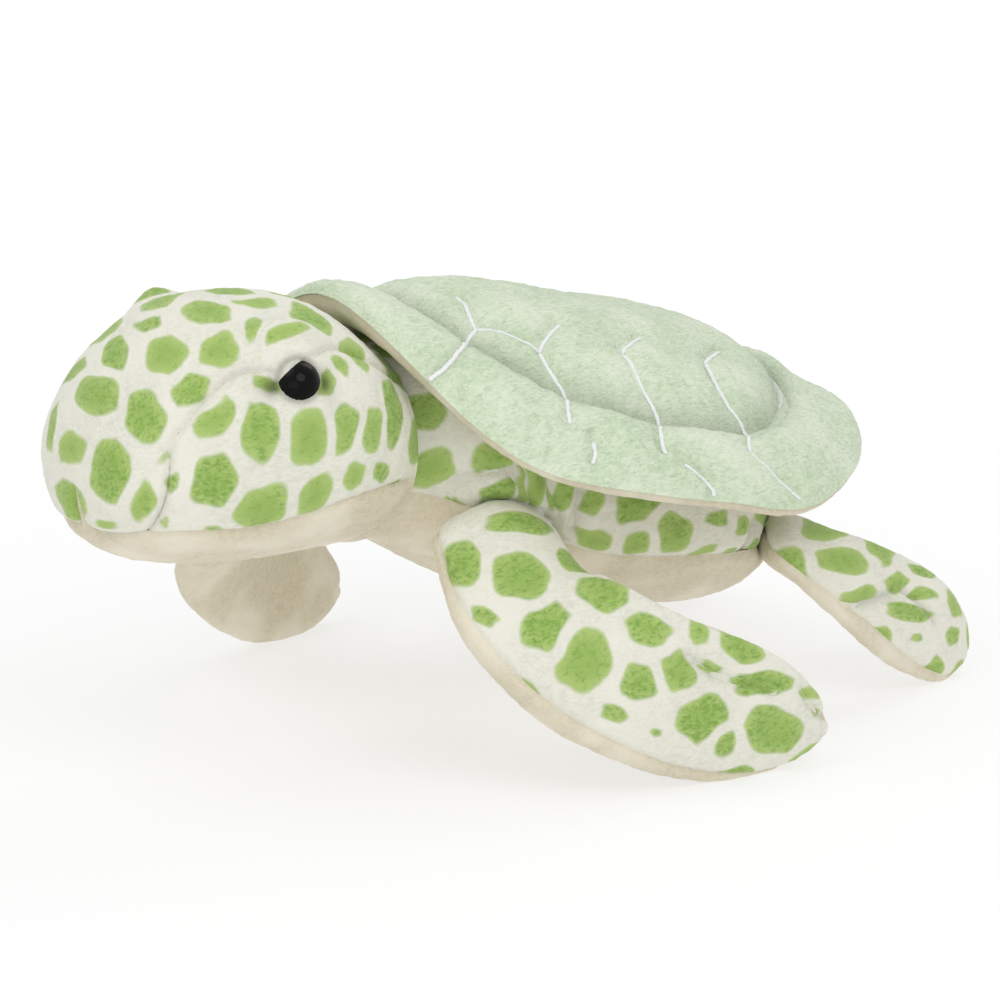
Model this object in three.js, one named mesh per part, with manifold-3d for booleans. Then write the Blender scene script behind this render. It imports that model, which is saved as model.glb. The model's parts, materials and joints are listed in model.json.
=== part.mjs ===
// A plush sea turtle that props itself up on its four flippers.
// Millimetres, +Z up, facing -Y, its left side at +X. The origin is on the ground below its middle.
// Every stuffed part is a core of stuffing inside sewn panels, which are parted at their seams.
import * as THREE from 'three';
import { mergeVertices } from 'three/addons/utils/BufferGeometryUtils.js';
import Module from 'manifold-3d';

const wasm = await Module();
wasm.setup();

// Cloth, seams and clearances
const plush_thickness = 2.4;
const seam_gap = 0.3;
const stuffing_gap = 0.8;
const sewn_gap = 0.3;
const shell_seat_gap = 0.9;
const neck_gap = 0.9;
const flap_gap = 0.9;
const cut_overrun = 4;
const standing_flat_depth = 0.5;

// Neck, which the head turns on
const neck_y = -50;
const neck_height = 79;
const neck_radius = 25;

// Head, from the nose back to the neck
const head_width = 77;
const head_length = 83.5;
const head_rise_above_middle = 34;
const head_drop_below_middle = 32;
const head_middle_above_neck = 9;
const head_back_past_neck = 1.25;

// Eyes
const eye_diameter = 11;
const eye_dome_height = 4.6;
const eye_seat_depth = 1;
const eye_back_from_nose = 42.25;
const eye_above_middle_deg = 29.5;
const eye_turn_forward_deg = 24;
const eye_turn_up_deg = 30;
const eye_shank_diameter = 3;
const eye_shank_length = 7;
const washer_diameter = 9;
const washer_thickness = 1.2;
const washer_clearance = 0.3;

// Body
const body_half_width = 49;
const body_length = 142;
const body_fall = 38;
const body_rise_above_middle = 36;
const body_drop_below_middle = 29;

// A pouch of pellets fills the tail end, which brings the weight back over the flippers
const pouch_length = 56;

// Shell, a cushion that lies over the back like a saddle
const shell_half_width = 71;
const shell_half_length = 81;
const shell_front_before_neck = 7;
const shell_above_back = 2;
const shell_fall_per_length = 0.25;
const shell_side_droop = 30;
const shell_shoulder_droop = 23;
const shell_dome_height = 19;
const shell_rim_height = 11;
const shell_rim_width = 17;
const shell_valley_height = 8.5;
const shell_lip_height = 3;
const shell_stuffing_edge_gap = 1.6;
const shell_front_corner_share = 0.07;
// How far the dome ends short of the tail, as a share of the shell
const shell_tail_rim_share = 0.095;

// Front flippers, which are soft and lie a little differently
const front_root_behind_neck = 14;
const front_root_outside_flank = 1.3;
const front_root_below_middle = 18.7;
const front_root_half_chord = 17;
const front_left_reach_out = 48;
const front_left_reach_back = 70;
const front_right_reach_out = 60;
const front_right_reach_back = 58;
const front_half_chord = 19.5;
const front_half_thickness = 8;
const front_flap_down_deg = 10;
const front_flap_up_deg = 25;

// Rear flippers
const rear_root_before_tail = 26;
const rear_root_outside_flank = 4;
const rear_root_below_middle = 0.3;
const rear_root_half_chord = 12;
const rear_reach_out = 14;
const rear_reach_back = 58;
const rear_half_chord = 16;
const rear_half_thickness = 6;
const rear_flap_down_deg = 8;
const rear_flap_up_deg = 20;

// How finely the forms are faceted
const round_facets = 10;
const flipper_facets = 6;
const flap_steps = 2;
const lathe_facets = 12;
const lathe_rings = 4;
const least_facet_share = 0.3;
const merge_distance = 1e-4;
const solid_merge_distance = 1e-5;

// Colours and finishes
const spotted_plush = { color: 0xd9e3b4, roughness: 0.95, metalness: 0 };
const beige_plush = { color: 0xe0d2b6, roughness: 0.95, metalness: 0 };
const shell_plush = { color: 0xc2dcb8, roughness: 0.95, metalness: 0 };
const stuffing = { color: 0xf4f4f0, roughness: 1, metalness: 0 };
const black_plastic = { color: 0x0a0a0a, roughness: 0.1, metalness: 0 };
const white_plastic = { color: 0xe8e8e8, roughness: 0.5, metalness: 0 };

const turtle = new THREE.Group();
const right_angle = Math.PI / 2;
const small_share = 0.01;

function add(name, geometry, finish) {
  const mesh = new THREE.Mesh(geometry, new THREE.MeshStandardMaterial(finish));
  mesh.name = name;
  turtle.add(mesh);
  return mesh;
}

// Curves through hand-set shares. A row is [place, value, value, ...], and a place in between is eased.
function through(rows, place) {
  const last = rows.length - 1;
  let k = 0;
  while (k < last - 1 && place > rows[k + 1][0]) k += 1;
  const before = rows[Math.max(k - 1, 0)];
  const from = rows[k];
  const to = rows[k + 1];
  const after = rows[Math.min(k + 2, last)];
  const span = to[0] - from[0];
  const t = Math.min(Math.max((place - from[0]) / span, 0), 1);
  const rise = t * t * (3 - 2 * t);
  const lead_in = t * (1 - t) * (1 - t);
  const lead_out = t * t * (t - 1);
  return from.slice(1).map((value, c) => {
    const i = c + 1;
    const slope_from = ((to[i] - before[i]) / (to[0] - before[0])) * span;
    const slope_to = ((after[i] - from[i]) / (after[0] - from[0])) * span;
    return value + (to[i] - value) * rise + slope_from * lead_in + slope_to * lead_out;
  });
}

const at = (radius, height) => new THREE.Vector2(radius, height);

const spread = (count, from, to) =>
  Array.from({ length: count + 1 }, (_, i) => from + ((to - from) * i) / count);

// Solids

function toManifold(geometry) {
  const plain = new THREE.BufferGeometry();
  plain.setAttribute('position', geometry.getAttribute('position'));
  if (geometry.index) plain.setIndex(geometry.index);
  const merged = mergeVertices(plain, solid_merge_distance);
  return new wasm.Manifold(new wasm.Mesh({
    numProp: 3,
    vertProperties: new Float32Array(merged.getAttribute('position').array),
    triVerts: new Uint32Array(merged.index.array),
  }));
}

function toGeometry(solid) {
  const mesh = solid.getMesh();
  const geometry = new THREE.BufferGeometry();
  geometry.setAttribute('position', new THREE.BufferAttribute(mesh.vertProperties, mesh.numProp));
  geometry.setIndex(new THREE.BufferAttribute(mesh.triVerts, 1));
  return geometry;
}

const cut = (geometry, ...cutters) =>
  toGeometry(cutters.reduce((solid, cutter) => solid.subtract(toManifold(cutter)), toManifold(geometry)));

// A closed solid between two grids of points that are joined around their edges.
function between(outer, inner) {
  const rows = outer.length;
  const columns = outer[0].length;
  const points = [...outer.flat(), ...inner.flat()];
  const index = [];
  const upper = (i, j) => i * columns + j;
  const lower = (i, j) => rows * columns + i * columns + j;
  // The shorter diagonal, so that a piece and its mirror image have the same facets.
  const quad = (a, b, c, d) => {
    const along = points[a].distanceTo(points[c]);
    const across = points[b].distanceTo(points[d]);
    if (along < across) index.push(a, b, c, a, c, d);
    else index.push(a, b, d, b, c, d);
  };
  for (let i = 0; i < rows - 1; i += 1) {
    for (let j = 0; j < columns - 1; j += 1) {
      quad(upper(i, j), upper(i + 1, j), upper(i + 1, j + 1), upper(i, j + 1));
      quad(lower(i, j), lower(i, j + 1), lower(i + 1, j + 1), lower(i + 1, j));
    }
    quad(upper(i, 0), lower(i, 0), lower(i + 1, 0), upper(i + 1, 0));
    const end = columns - 1;
    quad(upper(i + 1, end), lower(i + 1, end), lower(i, end), upper(i, end));
  }
  for (let j = 0; j < columns - 1; j += 1) {
    quad(upper(0, j + 1), lower(0, j + 1), lower(0, j), upper(0, j));
    const end = rows - 1;
    quad(upper(end, j), lower(end, j), lower(end, j + 1), upper(end, j + 1));
  }
  const geometry = new THREE.BufferGeometry().setFromPoints(points);
  geometry.setIndex(index);
  return facingOut(mergeVertices(geometry, merge_distance));
}

// Drops triangles that a merged corner has closed up, and turns the rest outwards.
function facingOut(geometry) {
  const place = geometry.getAttribute('position');
  const kept = [];
  let volume = 0;
  const corners = [new THREE.Vector3(), new THREE.Vector3(), new THREE.Vector3()];
  for (let t = 0; t < geometry.index.count; t += 3) {
    const triple = [0, 1, 2].map((k) => geometry.index.getX(t + k));
    if (new Set(triple).size < 3) continue;
    triple.forEach((v, k) => corners[k].fromBufferAttribute(place, v));
    volume += corners[0].dot(corners[1].clone().cross(corners[2]));
    kept.push(triple);
  }
  const turned = volume < 0 ? kept.map(([a, b, c]) => [a, c, b]) : kept;
  geometry.setIndex(turned.flat());
  return geometry;
}

function mirrored(geometry) {
  const copy = geometry.clone();
  copy.applyMatrix4(new THREE.Matrix4().makeScale(-1, 1, 1));
  return facingOut(copy);
}

// A form is a function of place along it, angle around it and depth below its face. Angle zero is its left
// or leading side, and a right angle is its top.
const grid = (form, places, angles, depth) =>
  places.map((place) => angles(place).map((angle) => form(place, angle, depth)));

const filled = (form, places, facets, depth) => between(
  grid(form, places, () => spread(facets, 0, Math.PI), depth),
  grid(form, places, () => spread(facets, 0, -Math.PI), depth),
);
const core = (form, places, facets) => filled(form, places, facets, plush_thickness + stuffing_gap);

// A sewn panel between two seam angles, held half a seam gap short of each. Away from its seams its corners
// are those of the core behind it.
function panel(form, places, facets, from, to) {
  const facet = Math.PI / facets;
  const first = Math.ceil(Math.max(...places.map(from)) / facet + least_facet_share);
  const last = Math.floor(Math.min(...places.map(to)) / facet - least_facet_share);
  const steps = (facets) => Math.max(Math.ceil(facets - least_facet_share), 1);
  const shared = last > first ? spread(last - first, first * facet, last * facet) : [];
  const lead = steps(first - Math.min(...places.map(from)) / facet);
  const trail = steps(Math.max(...places.map(to)) / facet - last);
  const trim = (place, angle, way) => {
    const swing = form(place, angle, 0).distanceTo(form(place, angle + small_share, 0)) / small_share;
    return angle + (way * seam_gap) / 2 / swing;
  };
  const angles = (place) => {
    const start = trim(place, from(place), 1);
    const end = trim(place, to(place), -1);
    if (!shared.length) return spread(facets, start, end);
    return [
      ...spread(lead, start, shared[0]).slice(0, -1),
      ...shared,
      ...spread(trail, shared[shared.length - 1], end).slice(1),
    ];
  };
  return between(grid(form, places, angles, 0), grid(form, places, angles, plush_thickness));
}

// A solid of revolution about its own Z axis, from a profile that starts and ends on it or closes on itself.
function turned(profile) {
  const shape = new THREE.LatheGeometry(profile, lathe_facets).rotateX(right_angle);
  shape.deleteAttribute('normal');
  shape.deleteAttribute('uv');
  return facingOut(mergeVertices(shape, merge_distance));
}

// An egg-shaped solid about its own Z axis.
function spindle(radius, half_length) {
  const profile = spread(lathe_rings * 2, 0, Math.PI).map(
    (turn) => at(radius * Math.sin(turn), -half_length * Math.cos(turn)),
  );
  return turned(profile);
}

// Body profile: a round neck, a chest that swells under the shell, and a low tail

const neck_turn_shares = [0.06, 0.35, 0.68];
// Place, half width, rise, drop, as shares of the body's sizes, then the share of its fall.
const body_shares = [
  [0, neck_radius / body_half_width, neck_radius / body_rise_above_middle,
    neck_radius / body_drop_below_middle, 0],
  [0.04, 0.53, 0.7, 0.88, 0],
  [0.1, 0.77, 0.8, 0.95, 0.06],
  [0.2, 0.93, 0.92, 1, 0.24],
  [0.35, 1, 1, 0.97, 0.5],
  [0.55, 0.99, 1, 0.84, 0.75],
  [0.72, 0.85, 0.95, 0.76, 0.9],
  [0.86, 0.58, 0.72, 0.6, 0.96],
  [0.95, 0.32, 0.38, 0.36, 0.98],
  [1, 0.1, 0.1, 0.1, 1],
];
const body_place_shares = [
  ...neck_turn_shares.map((share) => share - 1), 0, 0.04, 0.1, 0.2, 0.35, 0.52, 0.68, 0.81, 0.92, 1,
];
const tail_y = neck_y + body_length;

// The body's middle height and its half width, rise and drop at a place along it.
function bodyAt(y) {
  const [wide, rise, drop, fall] = through(body_shares, Math.max((y - neck_y) / body_length, 0));
  return {
    middle: neck_height - body_fall * fall,
    half_width: wide * body_half_width,
    rise: rise * body_rise_above_middle,
    drop: drop * body_drop_below_middle,
  };
}

// Shell: its underside is a saddle over the back, and every other piece of it follows that saddle

const shell_middle_y = neck_y - shell_front_before_neck + shell_half_length;
const back = bodyAt(shell_middle_y);
const shell_middle_height = back.middle + back.rise + shell_above_back;

function saddle(x, y) {
  const forward = Math.min(Math.max((shell_middle_y - y) / shell_half_length, 0), 1);
  const droop = shell_side_droop + shell_shoulder_droop * forward ** 2;
  return shell_middle_height - shell_fall_per_length * (y - shell_middle_y)
    - droop * (x / shell_half_width) ** 2;
}

// Rings of the cushion from the middle outwards, as shares of its half width: the quilted dome, then the rim.
const dome_width_share = 1 - shell_rim_width / shell_half_width;
const rim_width_share = shell_rim_width / shell_half_width;
const ring_shares = [
  ...[0, 0.33, 0.64, 0.86].map((share) => share * dome_width_share),
  ...[0, 0.3, 0.75, 1].map((share) => dome_width_share + share * rim_width_share),
];
const stuffing_ring_shares = [...ring_shares.slice(0, -1), 1 - shell_stuffing_edge_gap / shell_half_width];
const lip_start_share = 0.88;
const underside_ring_shares = [0, 0.3, 0.6, dome_width_share, lip_start_share, 1];
// Place across the dome or the rim, then the share of its height.
const dome_shares = [[0, 1], [0.6, 0.9], [0.85, 0.7]];
const rim_shares = [[0.4, 1], [0.8, 0.8]];
const cover_heights = [
  ...dome_shares.map(([place, share]) => [place * dome_width_share, share * shell_dome_height]),
  [dome_width_share, shell_valley_height],
  ...rim_shares.map(([place, share]) =>
    [dome_width_share + place * rim_width_share, share * shell_rim_height]),
  [1, shell_lip_height + seam_gap],
];

// Maps a square of side two onto a disc of radius one, so that square rings become round ones.
function discPoint(a, b) {
  if (a === 0 && b === 0) return [0, 0];
  const quarter = Math.PI / 4;
  const [radius, angle] = Math.abs(a) > Math.abs(b)
    ? [a, quarter * (b / a)]
    : [b, right_angle - quarter * (a / b)];
  return [radius * Math.cos(angle), radius * Math.sin(angle)];
}

// How near a direction lies to a corner of the outline, from nothing on its middle lines to one.
function cornerShare(across, along) {
  const square = across ** 2 + along ** 2;
  return square > 0 ? (2 * across * along / square) ** 2 : 0;
}

// A sheet over the back: its depth in from the outline and its height over the saddle at each ring.
function sheet(shares, depth, height) {
  const lines = [...shares.slice(1).map((share) => -share).reverse(), ...shares];
  return lines.map((b) => lines.map((a) => {
    const [across, along] = discPoint(a, b);
    const full = 1 + (along < 0 ? shell_front_corner_share * cornerShare(across, along) : 0);
    const x = across * full * (shell_half_width - depth);
    const y = shell_middle_y + along * full * (shell_half_length - depth);
    return new THREE.Vector3(x, y, saddle(x, y) + height(domeRing(across, along)));
  }));
}

// The ring whose height a point takes: the dome ends sooner toward the tail, where the rim is wider.
function domeRing(across, along) {
  const ring = Math.hypot(across, along);
  if (along <= 0) return ring;
  return ring + shell_tail_rim_share * ring * (1 - ring) * (2 * along / ring) ** 2;
}

const coverHeight = (ring) => through(cover_heights, Math.min(ring, 1))[0];
const onLip = (ring) => Math.max(ring - lip_start_share, 0) / (1 - lip_start_share);

function shellPieces() {
  const stuffing_depth = plush_thickness + stuffing_gap;
  add(
    'shell_cover',
    between(
      sheet(ring_shares, 0, coverHeight),
      sheet(ring_shares, plush_thickness, (ring) =>
        Math.max(coverHeight(ring) - plush_thickness, shell_lip_height + seam_gap)),
    ),
    shell_plush,
  );
  add(
    'shell_underside_panel',
    between(
      sheet(underside_ring_shares, 0, (ring) => onLip(ring) * shell_lip_height),
      sheet(underside_ring_shares, plush_thickness, (ring) =>
        plush_thickness + onLip(ring) * (shell_lip_height - plush_thickness)),
    ),
    beige_plush,
  );
  add(
    'shell_stuffing',
    between(
      sheet(stuffing_ring_shares, plush_thickness, (ring) =>
        Math.max(coverHeight(ring) - stuffing_depth, stuffing_depth)),
      sheet(stuffing_ring_shares, plush_thickness, () => stuffing_depth),
    ),
    stuffing,
  );
}

// Flippers: a root half egg on the axis that it turns on, then a blade that sweeps out, back and down

// A root lies at a place along the body, out from its flank and below its middle.
function rootAt(y, outside, below) {
  const { half_width, middle } = bodyAt(y);
  return new THREE.Vector3(half_width + outside, y, middle - below);
}

// Rows are the place along the blade, the chord's direction, then the shares of half chord and thickness.
const front = {
  root: rootAt(neck_y + front_root_behind_neck, front_root_outside_flank, front_root_below_middle),
  axis: new THREE.Vector3(0, 1, -0.15).normalize(),
  root_half_chord: front_root_half_chord,
  half_chord: front_half_chord,
  half_thickness: front_half_thickness,
  flap_down_deg: front_flap_down_deg,
  flap_up_deg: front_flap_up_deg,
  chord_shares: [
    [0, 0, 1, -0.15, front_root_half_chord / front_half_chord, 1],
    [0.3, 0.1, 0.85, 0.45, 1, 1],
    [0.6, 0.15, 0.45, 0.88, 1, 0.85],
    [0.74, 0.13, 0.36, 0.92, 0.95, 0.72],
    [0.87, 0.12, 0.3, 0.95, 0.74, 0.6],
    [0.96, 0.1, 0.3, 0.95, 0.42, 0.4],
    [1, 0.1, 0.3, 0.95, 0.14, 0.14],
  ],
  spine_shares: [
    [0, 0, 0, 0],
    [0.3, 0.5, -0.02, 0.33],
    [0.6, 0.85, 0.34, 0.69],
    [1, 1, 1, 1],
  ],
};

const rear = {
  root: rootAt(tail_y - rear_root_before_tail, rear_root_outside_flank, rear_root_below_middle),
  axis: new THREE.Vector3(-0.8, 0.5, 0.3).normalize(),
  out: rear_reach_out,
  back: rear_reach_back,
  root_half_chord: rear_root_half_chord,
  half_chord: rear_half_chord,
  half_thickness: rear_half_thickness,
  flap_down_deg: rear_flap_down_deg,
  flap_up_deg: rear_flap_up_deg,
  chord_shares: [
    [0, -0.8, 0.5, 0.3, rear_root_half_chord / rear_half_chord, 1],
    [0.3, -0.6, 0.6, 0.5, 1, 1],
    [0.6, -0.4, 0.62, 0.7, 1.02, 0.9],
    [0.85, -0.35, 0.62, 0.7, 0.84, 0.65],
    [0.96, -0.35, 0.62, 0.7, 0.5, 0.4],
    [1, -0.35, 0.62, 0.7, 0.18, 0.16],
  ],
  spine_shares: [
    [0, 0, 0, 0],
    [0.3, 0.75, 0.24, 0.3],
    [0.6, 1.05, 0.56, 0.64],
    [1, 1, 1, 1],
  ],
};

const root_turn_shares = [0.985, 0.75];
const blade_place_shares = [0, 0.18, 0.38, 0.58, 0.7, 0.79, 0.88, 0.96, 1];
// The leading seam rides up onto the top face, so the underside cloth wraps the leading edge.
const lead_seam_shares = [[-1, 0], [0, 0.06], [0.3, 0.38], [0.8, 0.32], [1, 0]];
const leadSeam = (place) => through(lead_seam_shares, place)[0] * right_angle;
const levelling_passes = 4;
const levelling_facets = 24;

function flipperForm(kind, down) {
  const { root, out, back, half_chord, half_thickness } = kind;
  const length = Math.hypot(out, back, down);
  const spine = (place) => {
    const [out_share, back_share, down_share] = through(kind.spine_shares, place);
    return new THREE.Vector3(out * out_share, back * back_share, -down * down_share).add(root);
  };
  const root_share = half_thickness / length;
  const form = (place, angle, depth) => {
    const along = Math.max(place, 0);
    const ahead = spine(Math.min(along + small_share, 1));
    const behind = spine(Math.max(along - small_share, 0));
    const forward = ahead.sub(behind).normalize();
    const [chord_x, chord_y, chord_z, wide, thick] = through(kind.chord_shares, along);
    const chord = new THREE.Vector3(chord_x, chord_y, chord_z);
    chord.addScaledVector(forward, -chord.dot(forward)).normalize();
    const upward = new THREE.Vector3().crossVectors(forward, chord);
    const round = place < 0 ? Math.sqrt(Math.max(1 - (place / root_share) ** 2, 0)) : 1;
    const width = place < 0 ? (kind.root_half_chord - depth) * round : (half_chord - depth) * wide;
    const height = (half_thickness - depth) * thick * round;
    const centre = place < 0
      ? spine(0).addScaledVector(forward, place * length * (1 - depth / half_thickness))
      : spine(place * (1 - depth / length));
    return centre
      .addScaledVector(chord, -width * Math.cos(angle))
      .addScaledVector(upward, height * Math.sin(angle));
  };
  form.places = [...root_turn_shares.map((share) => -share * root_share), ...blade_place_shares];
  return form;
}

// The blade reaches down until its lowest point lies a flat's depth below the ground.
function levelForm(kind) {
  let down = kind.root.z;
  for (let pass = 0; pass < levelling_passes; pass += 1) {
    const form = flipperForm(kind, down);
    const skin = grid(form, form.places, () => spread(levelling_facets, -Math.PI, Math.PI), 0).flat();
    down += Math.min(...skin.map((point) => point.z)) + standing_flat_depth;
  }
  return flipperForm(kind, down);
}

const front_left = { ...front, out: front_left_reach_out, back: front_left_reach_back, side: 1 };
const front_right = { ...front, out: front_right_reach_out, back: front_right_reach_back, side: -1 };
const rear_left = { ...rear, side: 1 };
const rear_right = { ...rear, side: -1 };
const flippers = [front_left, front_right, rear_left, rear_right];
for (const kind of flippers) kind.form = levelForm(kind);

const ground_size = (shell_half_length + body_length + shell_half_width) * 2;
const ground = new THREE.BoxGeometry(ground_size, ground_size, cut_overrun);
ground.translate(0, 0, -cut_overrun / 2);

function flipper(name, { form, side }) {
  const { places } = form;
  const make = (geometry) => cut(side < 0 ? mirrored(geometry) : geometry, ground);
  const full_turn = Math.PI * 2;
  add(`${name}_top_panel`, make(panel(form, places, flipper_facets, leadSeam, () => Math.PI)), spotted_plush);
  add(
    `${name}_underside_panel`,
    make(panel(form, places, flipper_facets, () => Math.PI, (place) => full_turn + leadSeam(place))),
    beige_plush,
  );
  add(`${name}_stuffing`, make(core(form, places, flipper_facets)), stuffing);
}

// The room that a flipper takes in the body: its root, and its blade in steps from its highest to its lowest.
function flipperRoom(kind) {
  const { form, root, axis } = kind;
  const outside_facets = 1 / (Math.cos(Math.PI / lathe_facets) * Math.cos(Math.PI / lathe_rings / 4));
  const seat = spindle(
    (kind.half_thickness + sewn_gap) * outside_facets,
    (kind.root_half_chord + sewn_gap) * outside_facets,
  );
  seat.applyQuaternion(new THREE.Quaternion().setFromUnitVectors(new THREE.Vector3(0, 0, 1), axis));
  seat.translate(root.x, root.y, root.z);
  const blade = filled(form, form.places, flipper_facets, -flap_gap);
  const blades = spread(flap_steps, -kind.flap_up_deg, kind.flap_down_deg).map((turn_deg) => {
    const turn = new THREE.Quaternion().setFromAxisAngle(axis, THREE.MathUtils.degToRad(turn_deg));
    const copy = blade.clone();
    copy.translate(-root.x, -root.y, -root.z);
    copy.applyQuaternion(turn);
    copy.translate(root.x, root.y, root.z);
    return copy;
  });
  return kind.side < 0 ? [seat, ...blades].map(mirrored) : [seat, ...blades];
}

const flipper_rooms = flippers.flatMap(flipperRoom);

// Body

function bodyForm(place, angle, depth) {
  const turn = right_angle * (1 + Math.min(place, 0));
  const neck = (neck_radius - depth) * Math.sin(turn);
  const y = place < 0
    ? neck_y - (neck_radius - depth) * Math.cos(turn)
    : neck_y + place * (body_length - depth);
  const { middle, half_width, rise, drop } = bodyAt(neck_y + Math.max(place, 0) * body_length);
  const inward = 1 - depth / body_half_width;
  const half_height = Math.sin(angle) > 0
    ? rise * (1 - depth / body_rise_above_middle)
    : drop * (1 - depth / body_drop_below_middle);
  const x = (place < 0 ? neck : half_width * inward) * Math.cos(angle);
  const z = middle + (place < 0 ? neck : half_height) * Math.sin(angle);
  return new THREE.Vector3(x, y, Math.min(z, saddle(x, y) - shell_seat_gap - depth));
}

// Place, then the seam's angle below the middle as a share of a right angle: the seam climbs toward the tail.
const belly_seam_shares = [
  [0, 0.22], [0.05, 0.27], [0.26, 0.27], [0.42, 0.19], [0.51, 0.14], [0.64, 0.08], [0.72, 0.06], [1, 0.06],
];
const bellySeam = (place) => through(belly_seam_shares, Math.max(place, 0))[0] * right_angle;
const body_core = core(bodyForm, body_place_shares, round_facets);

const tail_side = new THREE.BoxGeometry(body_length, body_length, body_length);
tail_side.translate(0, tail_y - pouch_length + body_length / 2, neck_height - body_fall);
const front_side = tail_side.clone();
front_side.translate(0, stuffing_gap - body_length, 0);

add('pellet_pouch', cut(body_core, front_side, ...flipper_rooms), white_plastic);
add('body_stuffing', cut(body_core, tail_side, ...flipper_rooms), stuffing);
const flankStart = (place) => -bellySeam(place);
const flank = panel(bodyForm, body_place_shares, round_facets, flankStart, () => right_angle);
add('flank_panel_left', cut(flank, ...flipper_rooms), spotted_plush);
add('flank_panel_right', cut(mirrored(flank), ...flipper_rooms), spotted_plush);
const bellyStart = (place) => Math.PI + bellySeam(place);
const bellyEnd = (place) => Math.PI * 2 - bellySeam(place);
const belly = panel(bodyForm, body_place_shares, round_facets, bellyStart, bellyEnd);
add('belly_panel', cut(belly, ...flipper_rooms), beige_plush);

// Head: cut at the back by the neck that it turns on

// Place, half width, rise, drop, as shares of the head's sizes, then the share of the rise that lifts the
// middle.
const head_shares = [
  [0, 0.05, 0.05, 0.05, -0.2],
  [0.03, 0.4, 0.34, 0.38, -0.17],
  [0.1, 0.64, 0.58, 0.64, -0.12],
  [0.22, 0.82, 0.8, 0.84, -0.05],
  [0.38, 0.95, 0.96, 0.96, 0],
  [0.55, 1, 1, 1, 0],
  [0.72, 0.97, 0.96, 0.97, -0.03],
  [0.88, 0.84, 0.84, 0.9, -0.1],
  [1, 0.7, 0.7, 0.8, -0.18],
];
const head_place_shares = [0, 0.03, 0.1, 0.13, 0.2, 0.29, 0.4, 0.5, 0.6, 0.73, 0.87, 1];
const cheek_start_share = 0.1;
const cheek_place_shares = head_place_shares.filter((place) => place > cheek_start_share);

const head_middle_y = neck_y + head_back_past_neck - head_length / 2;

function headForm(place, angle, depth) {
  const [wide, rise, drop, lift] = through(head_shares, place);
  const half_width = wide * (head_width / 2 - depth);
  const reach = Math.sin(angle) > 0
    ? rise * (head_rise_above_middle - depth)
    : drop * (head_drop_below_middle - depth);
  return new THREE.Vector3(
    half_width * Math.cos(angle),
    head_middle_y + (place - 0.5) * (head_length - depth * 2),
    neck_height + head_middle_above_neck + lift * head_rise_above_middle + reach * Math.sin(angle),
  );
}

// Place, then the jaw seam's angle below the middle as a share of a right angle: it passes under the nose.
const jaw_seam_shares = [
  [0, 0.75], [0.03, 0.75], [0.1, 0.46], [0.22, 0.41], [0.37, 0.4], [0.54, 0.34], [0.7, 0.27], [1, 0.2],
];
const jawSeam = (place) => through(jaw_seam_shares, place)[0] * right_angle;
// The seam leaves the jaw at the side of the muzzle, climbs to the eye and runs back to the neck. A row is
// the place along the head and the angle as a share of a right angle.
const cheek_seam_shares = [
  [cheek_start_share, -jawSeam(cheek_start_share) / right_angle],
  [0.125, 0.16], [0.18, 0.31], [0.26, 0.4], [0.35, 0.44], [0.47, 0.39], [0.55, 0.41], [0.7, 0.48],
  [1, 0.45],
];
const cheekSeam = (place) => through(cheek_seam_shares, place)[0] * right_angle;

const neck_ball = new THREE.SphereGeometry(neck_radius + neck_gap, lathe_facets * 2, lathe_facets);
neck_ball.rotateX(right_angle);
neck_ball.translate(0, neck_y, neck_height);

// Eyes: a dome on a shank that passes through the cloth to a washer in the stuffing

function eyeFrame(side) {
  const turn_up = THREE.MathUtils.degToRad(eye_turn_up_deg);
  const turn_forward = THREE.MathUtils.degToRad(eye_turn_forward_deg);
  const outward = new THREE.Vector3(
    Math.cos(turn_up) * Math.cos(turn_forward),
    -Math.cos(turn_up) * Math.sin(turn_forward),
    Math.sin(turn_up),
  );
  const angle = THREE.MathUtils.degToRad(eye_above_middle_deg);
  const centre = headForm(eye_back_from_nose / head_length, angle, 0);
  centre.addScaledVector(outward, -eye_seat_depth);
  const matrix = new THREE.Matrix4().compose(
    centre,
    new THREE.Quaternion().setFromUnitVectors(new THREE.Vector3(0, 0, 1), outward),
    new THREE.Vector3(1, 1, 1),
  );
  return side < 0 ? new THREE.Matrix4().makeScale(-1, 1, 1).multiply(matrix) : matrix;
}

function placed(geometry, matrix) {
  const copy = geometry.clone();
  copy.applyMatrix4(matrix);
  return facingOut(copy);
}

const rod = (radius, low, high) => turned([at(0, low), at(radius, low), at(radius, high), at(0, high)]);

const eye_radius = eye_diameter / 2;
const shank_radius = eye_shank_diameter / 2;
const dome_profile = spread(lathe_rings, 0, right_angle).map(
  (turn) => at(eye_radius * Math.cos(turn), sewn_gap + eye_dome_height * Math.sin(turn)),
);
dome_profile[dome_profile.length - 1].x = 0;
const eye_shape = turned([
  at(0, sewn_gap - eye_shank_length), at(shank_radius, sewn_gap - eye_shank_length),
  at(shank_radius, sewn_gap), ...dome_profile,
]);
const washer_top = -(plush_thickness + stuffing_gap * 2);
const washer_bore = shank_radius + washer_clearance;
const washer_shape = turned([
  at(washer_bore, washer_top - washer_thickness), at(washer_diameter / 2, washer_top - washer_thickness),
  at(washer_diameter / 2, washer_top), at(washer_bore, washer_top),
  at(washer_bore, washer_top - washer_thickness),
]);
const seat_cutter = rod(eye_radius + sewn_gap, 0, eye_dome_height);
const shank_cutter = rod(washer_bore, -eye_shank_length - washer_clearance, cut_overrun);
const pocket_cutter = rod(
  washer_diameter / 2 + washer_clearance,
  washer_top - washer_thickness - washer_clearance,
  eye_dome_height,
);
const eye_frames = { left: eyeFrame(1), right: eyeFrame(-1) };
const seat_cutters = Object.values(eye_frames).flatMap((frame) => [
  placed(seat_cutter, frame), placed(shank_cutter, frame),
]);
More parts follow.
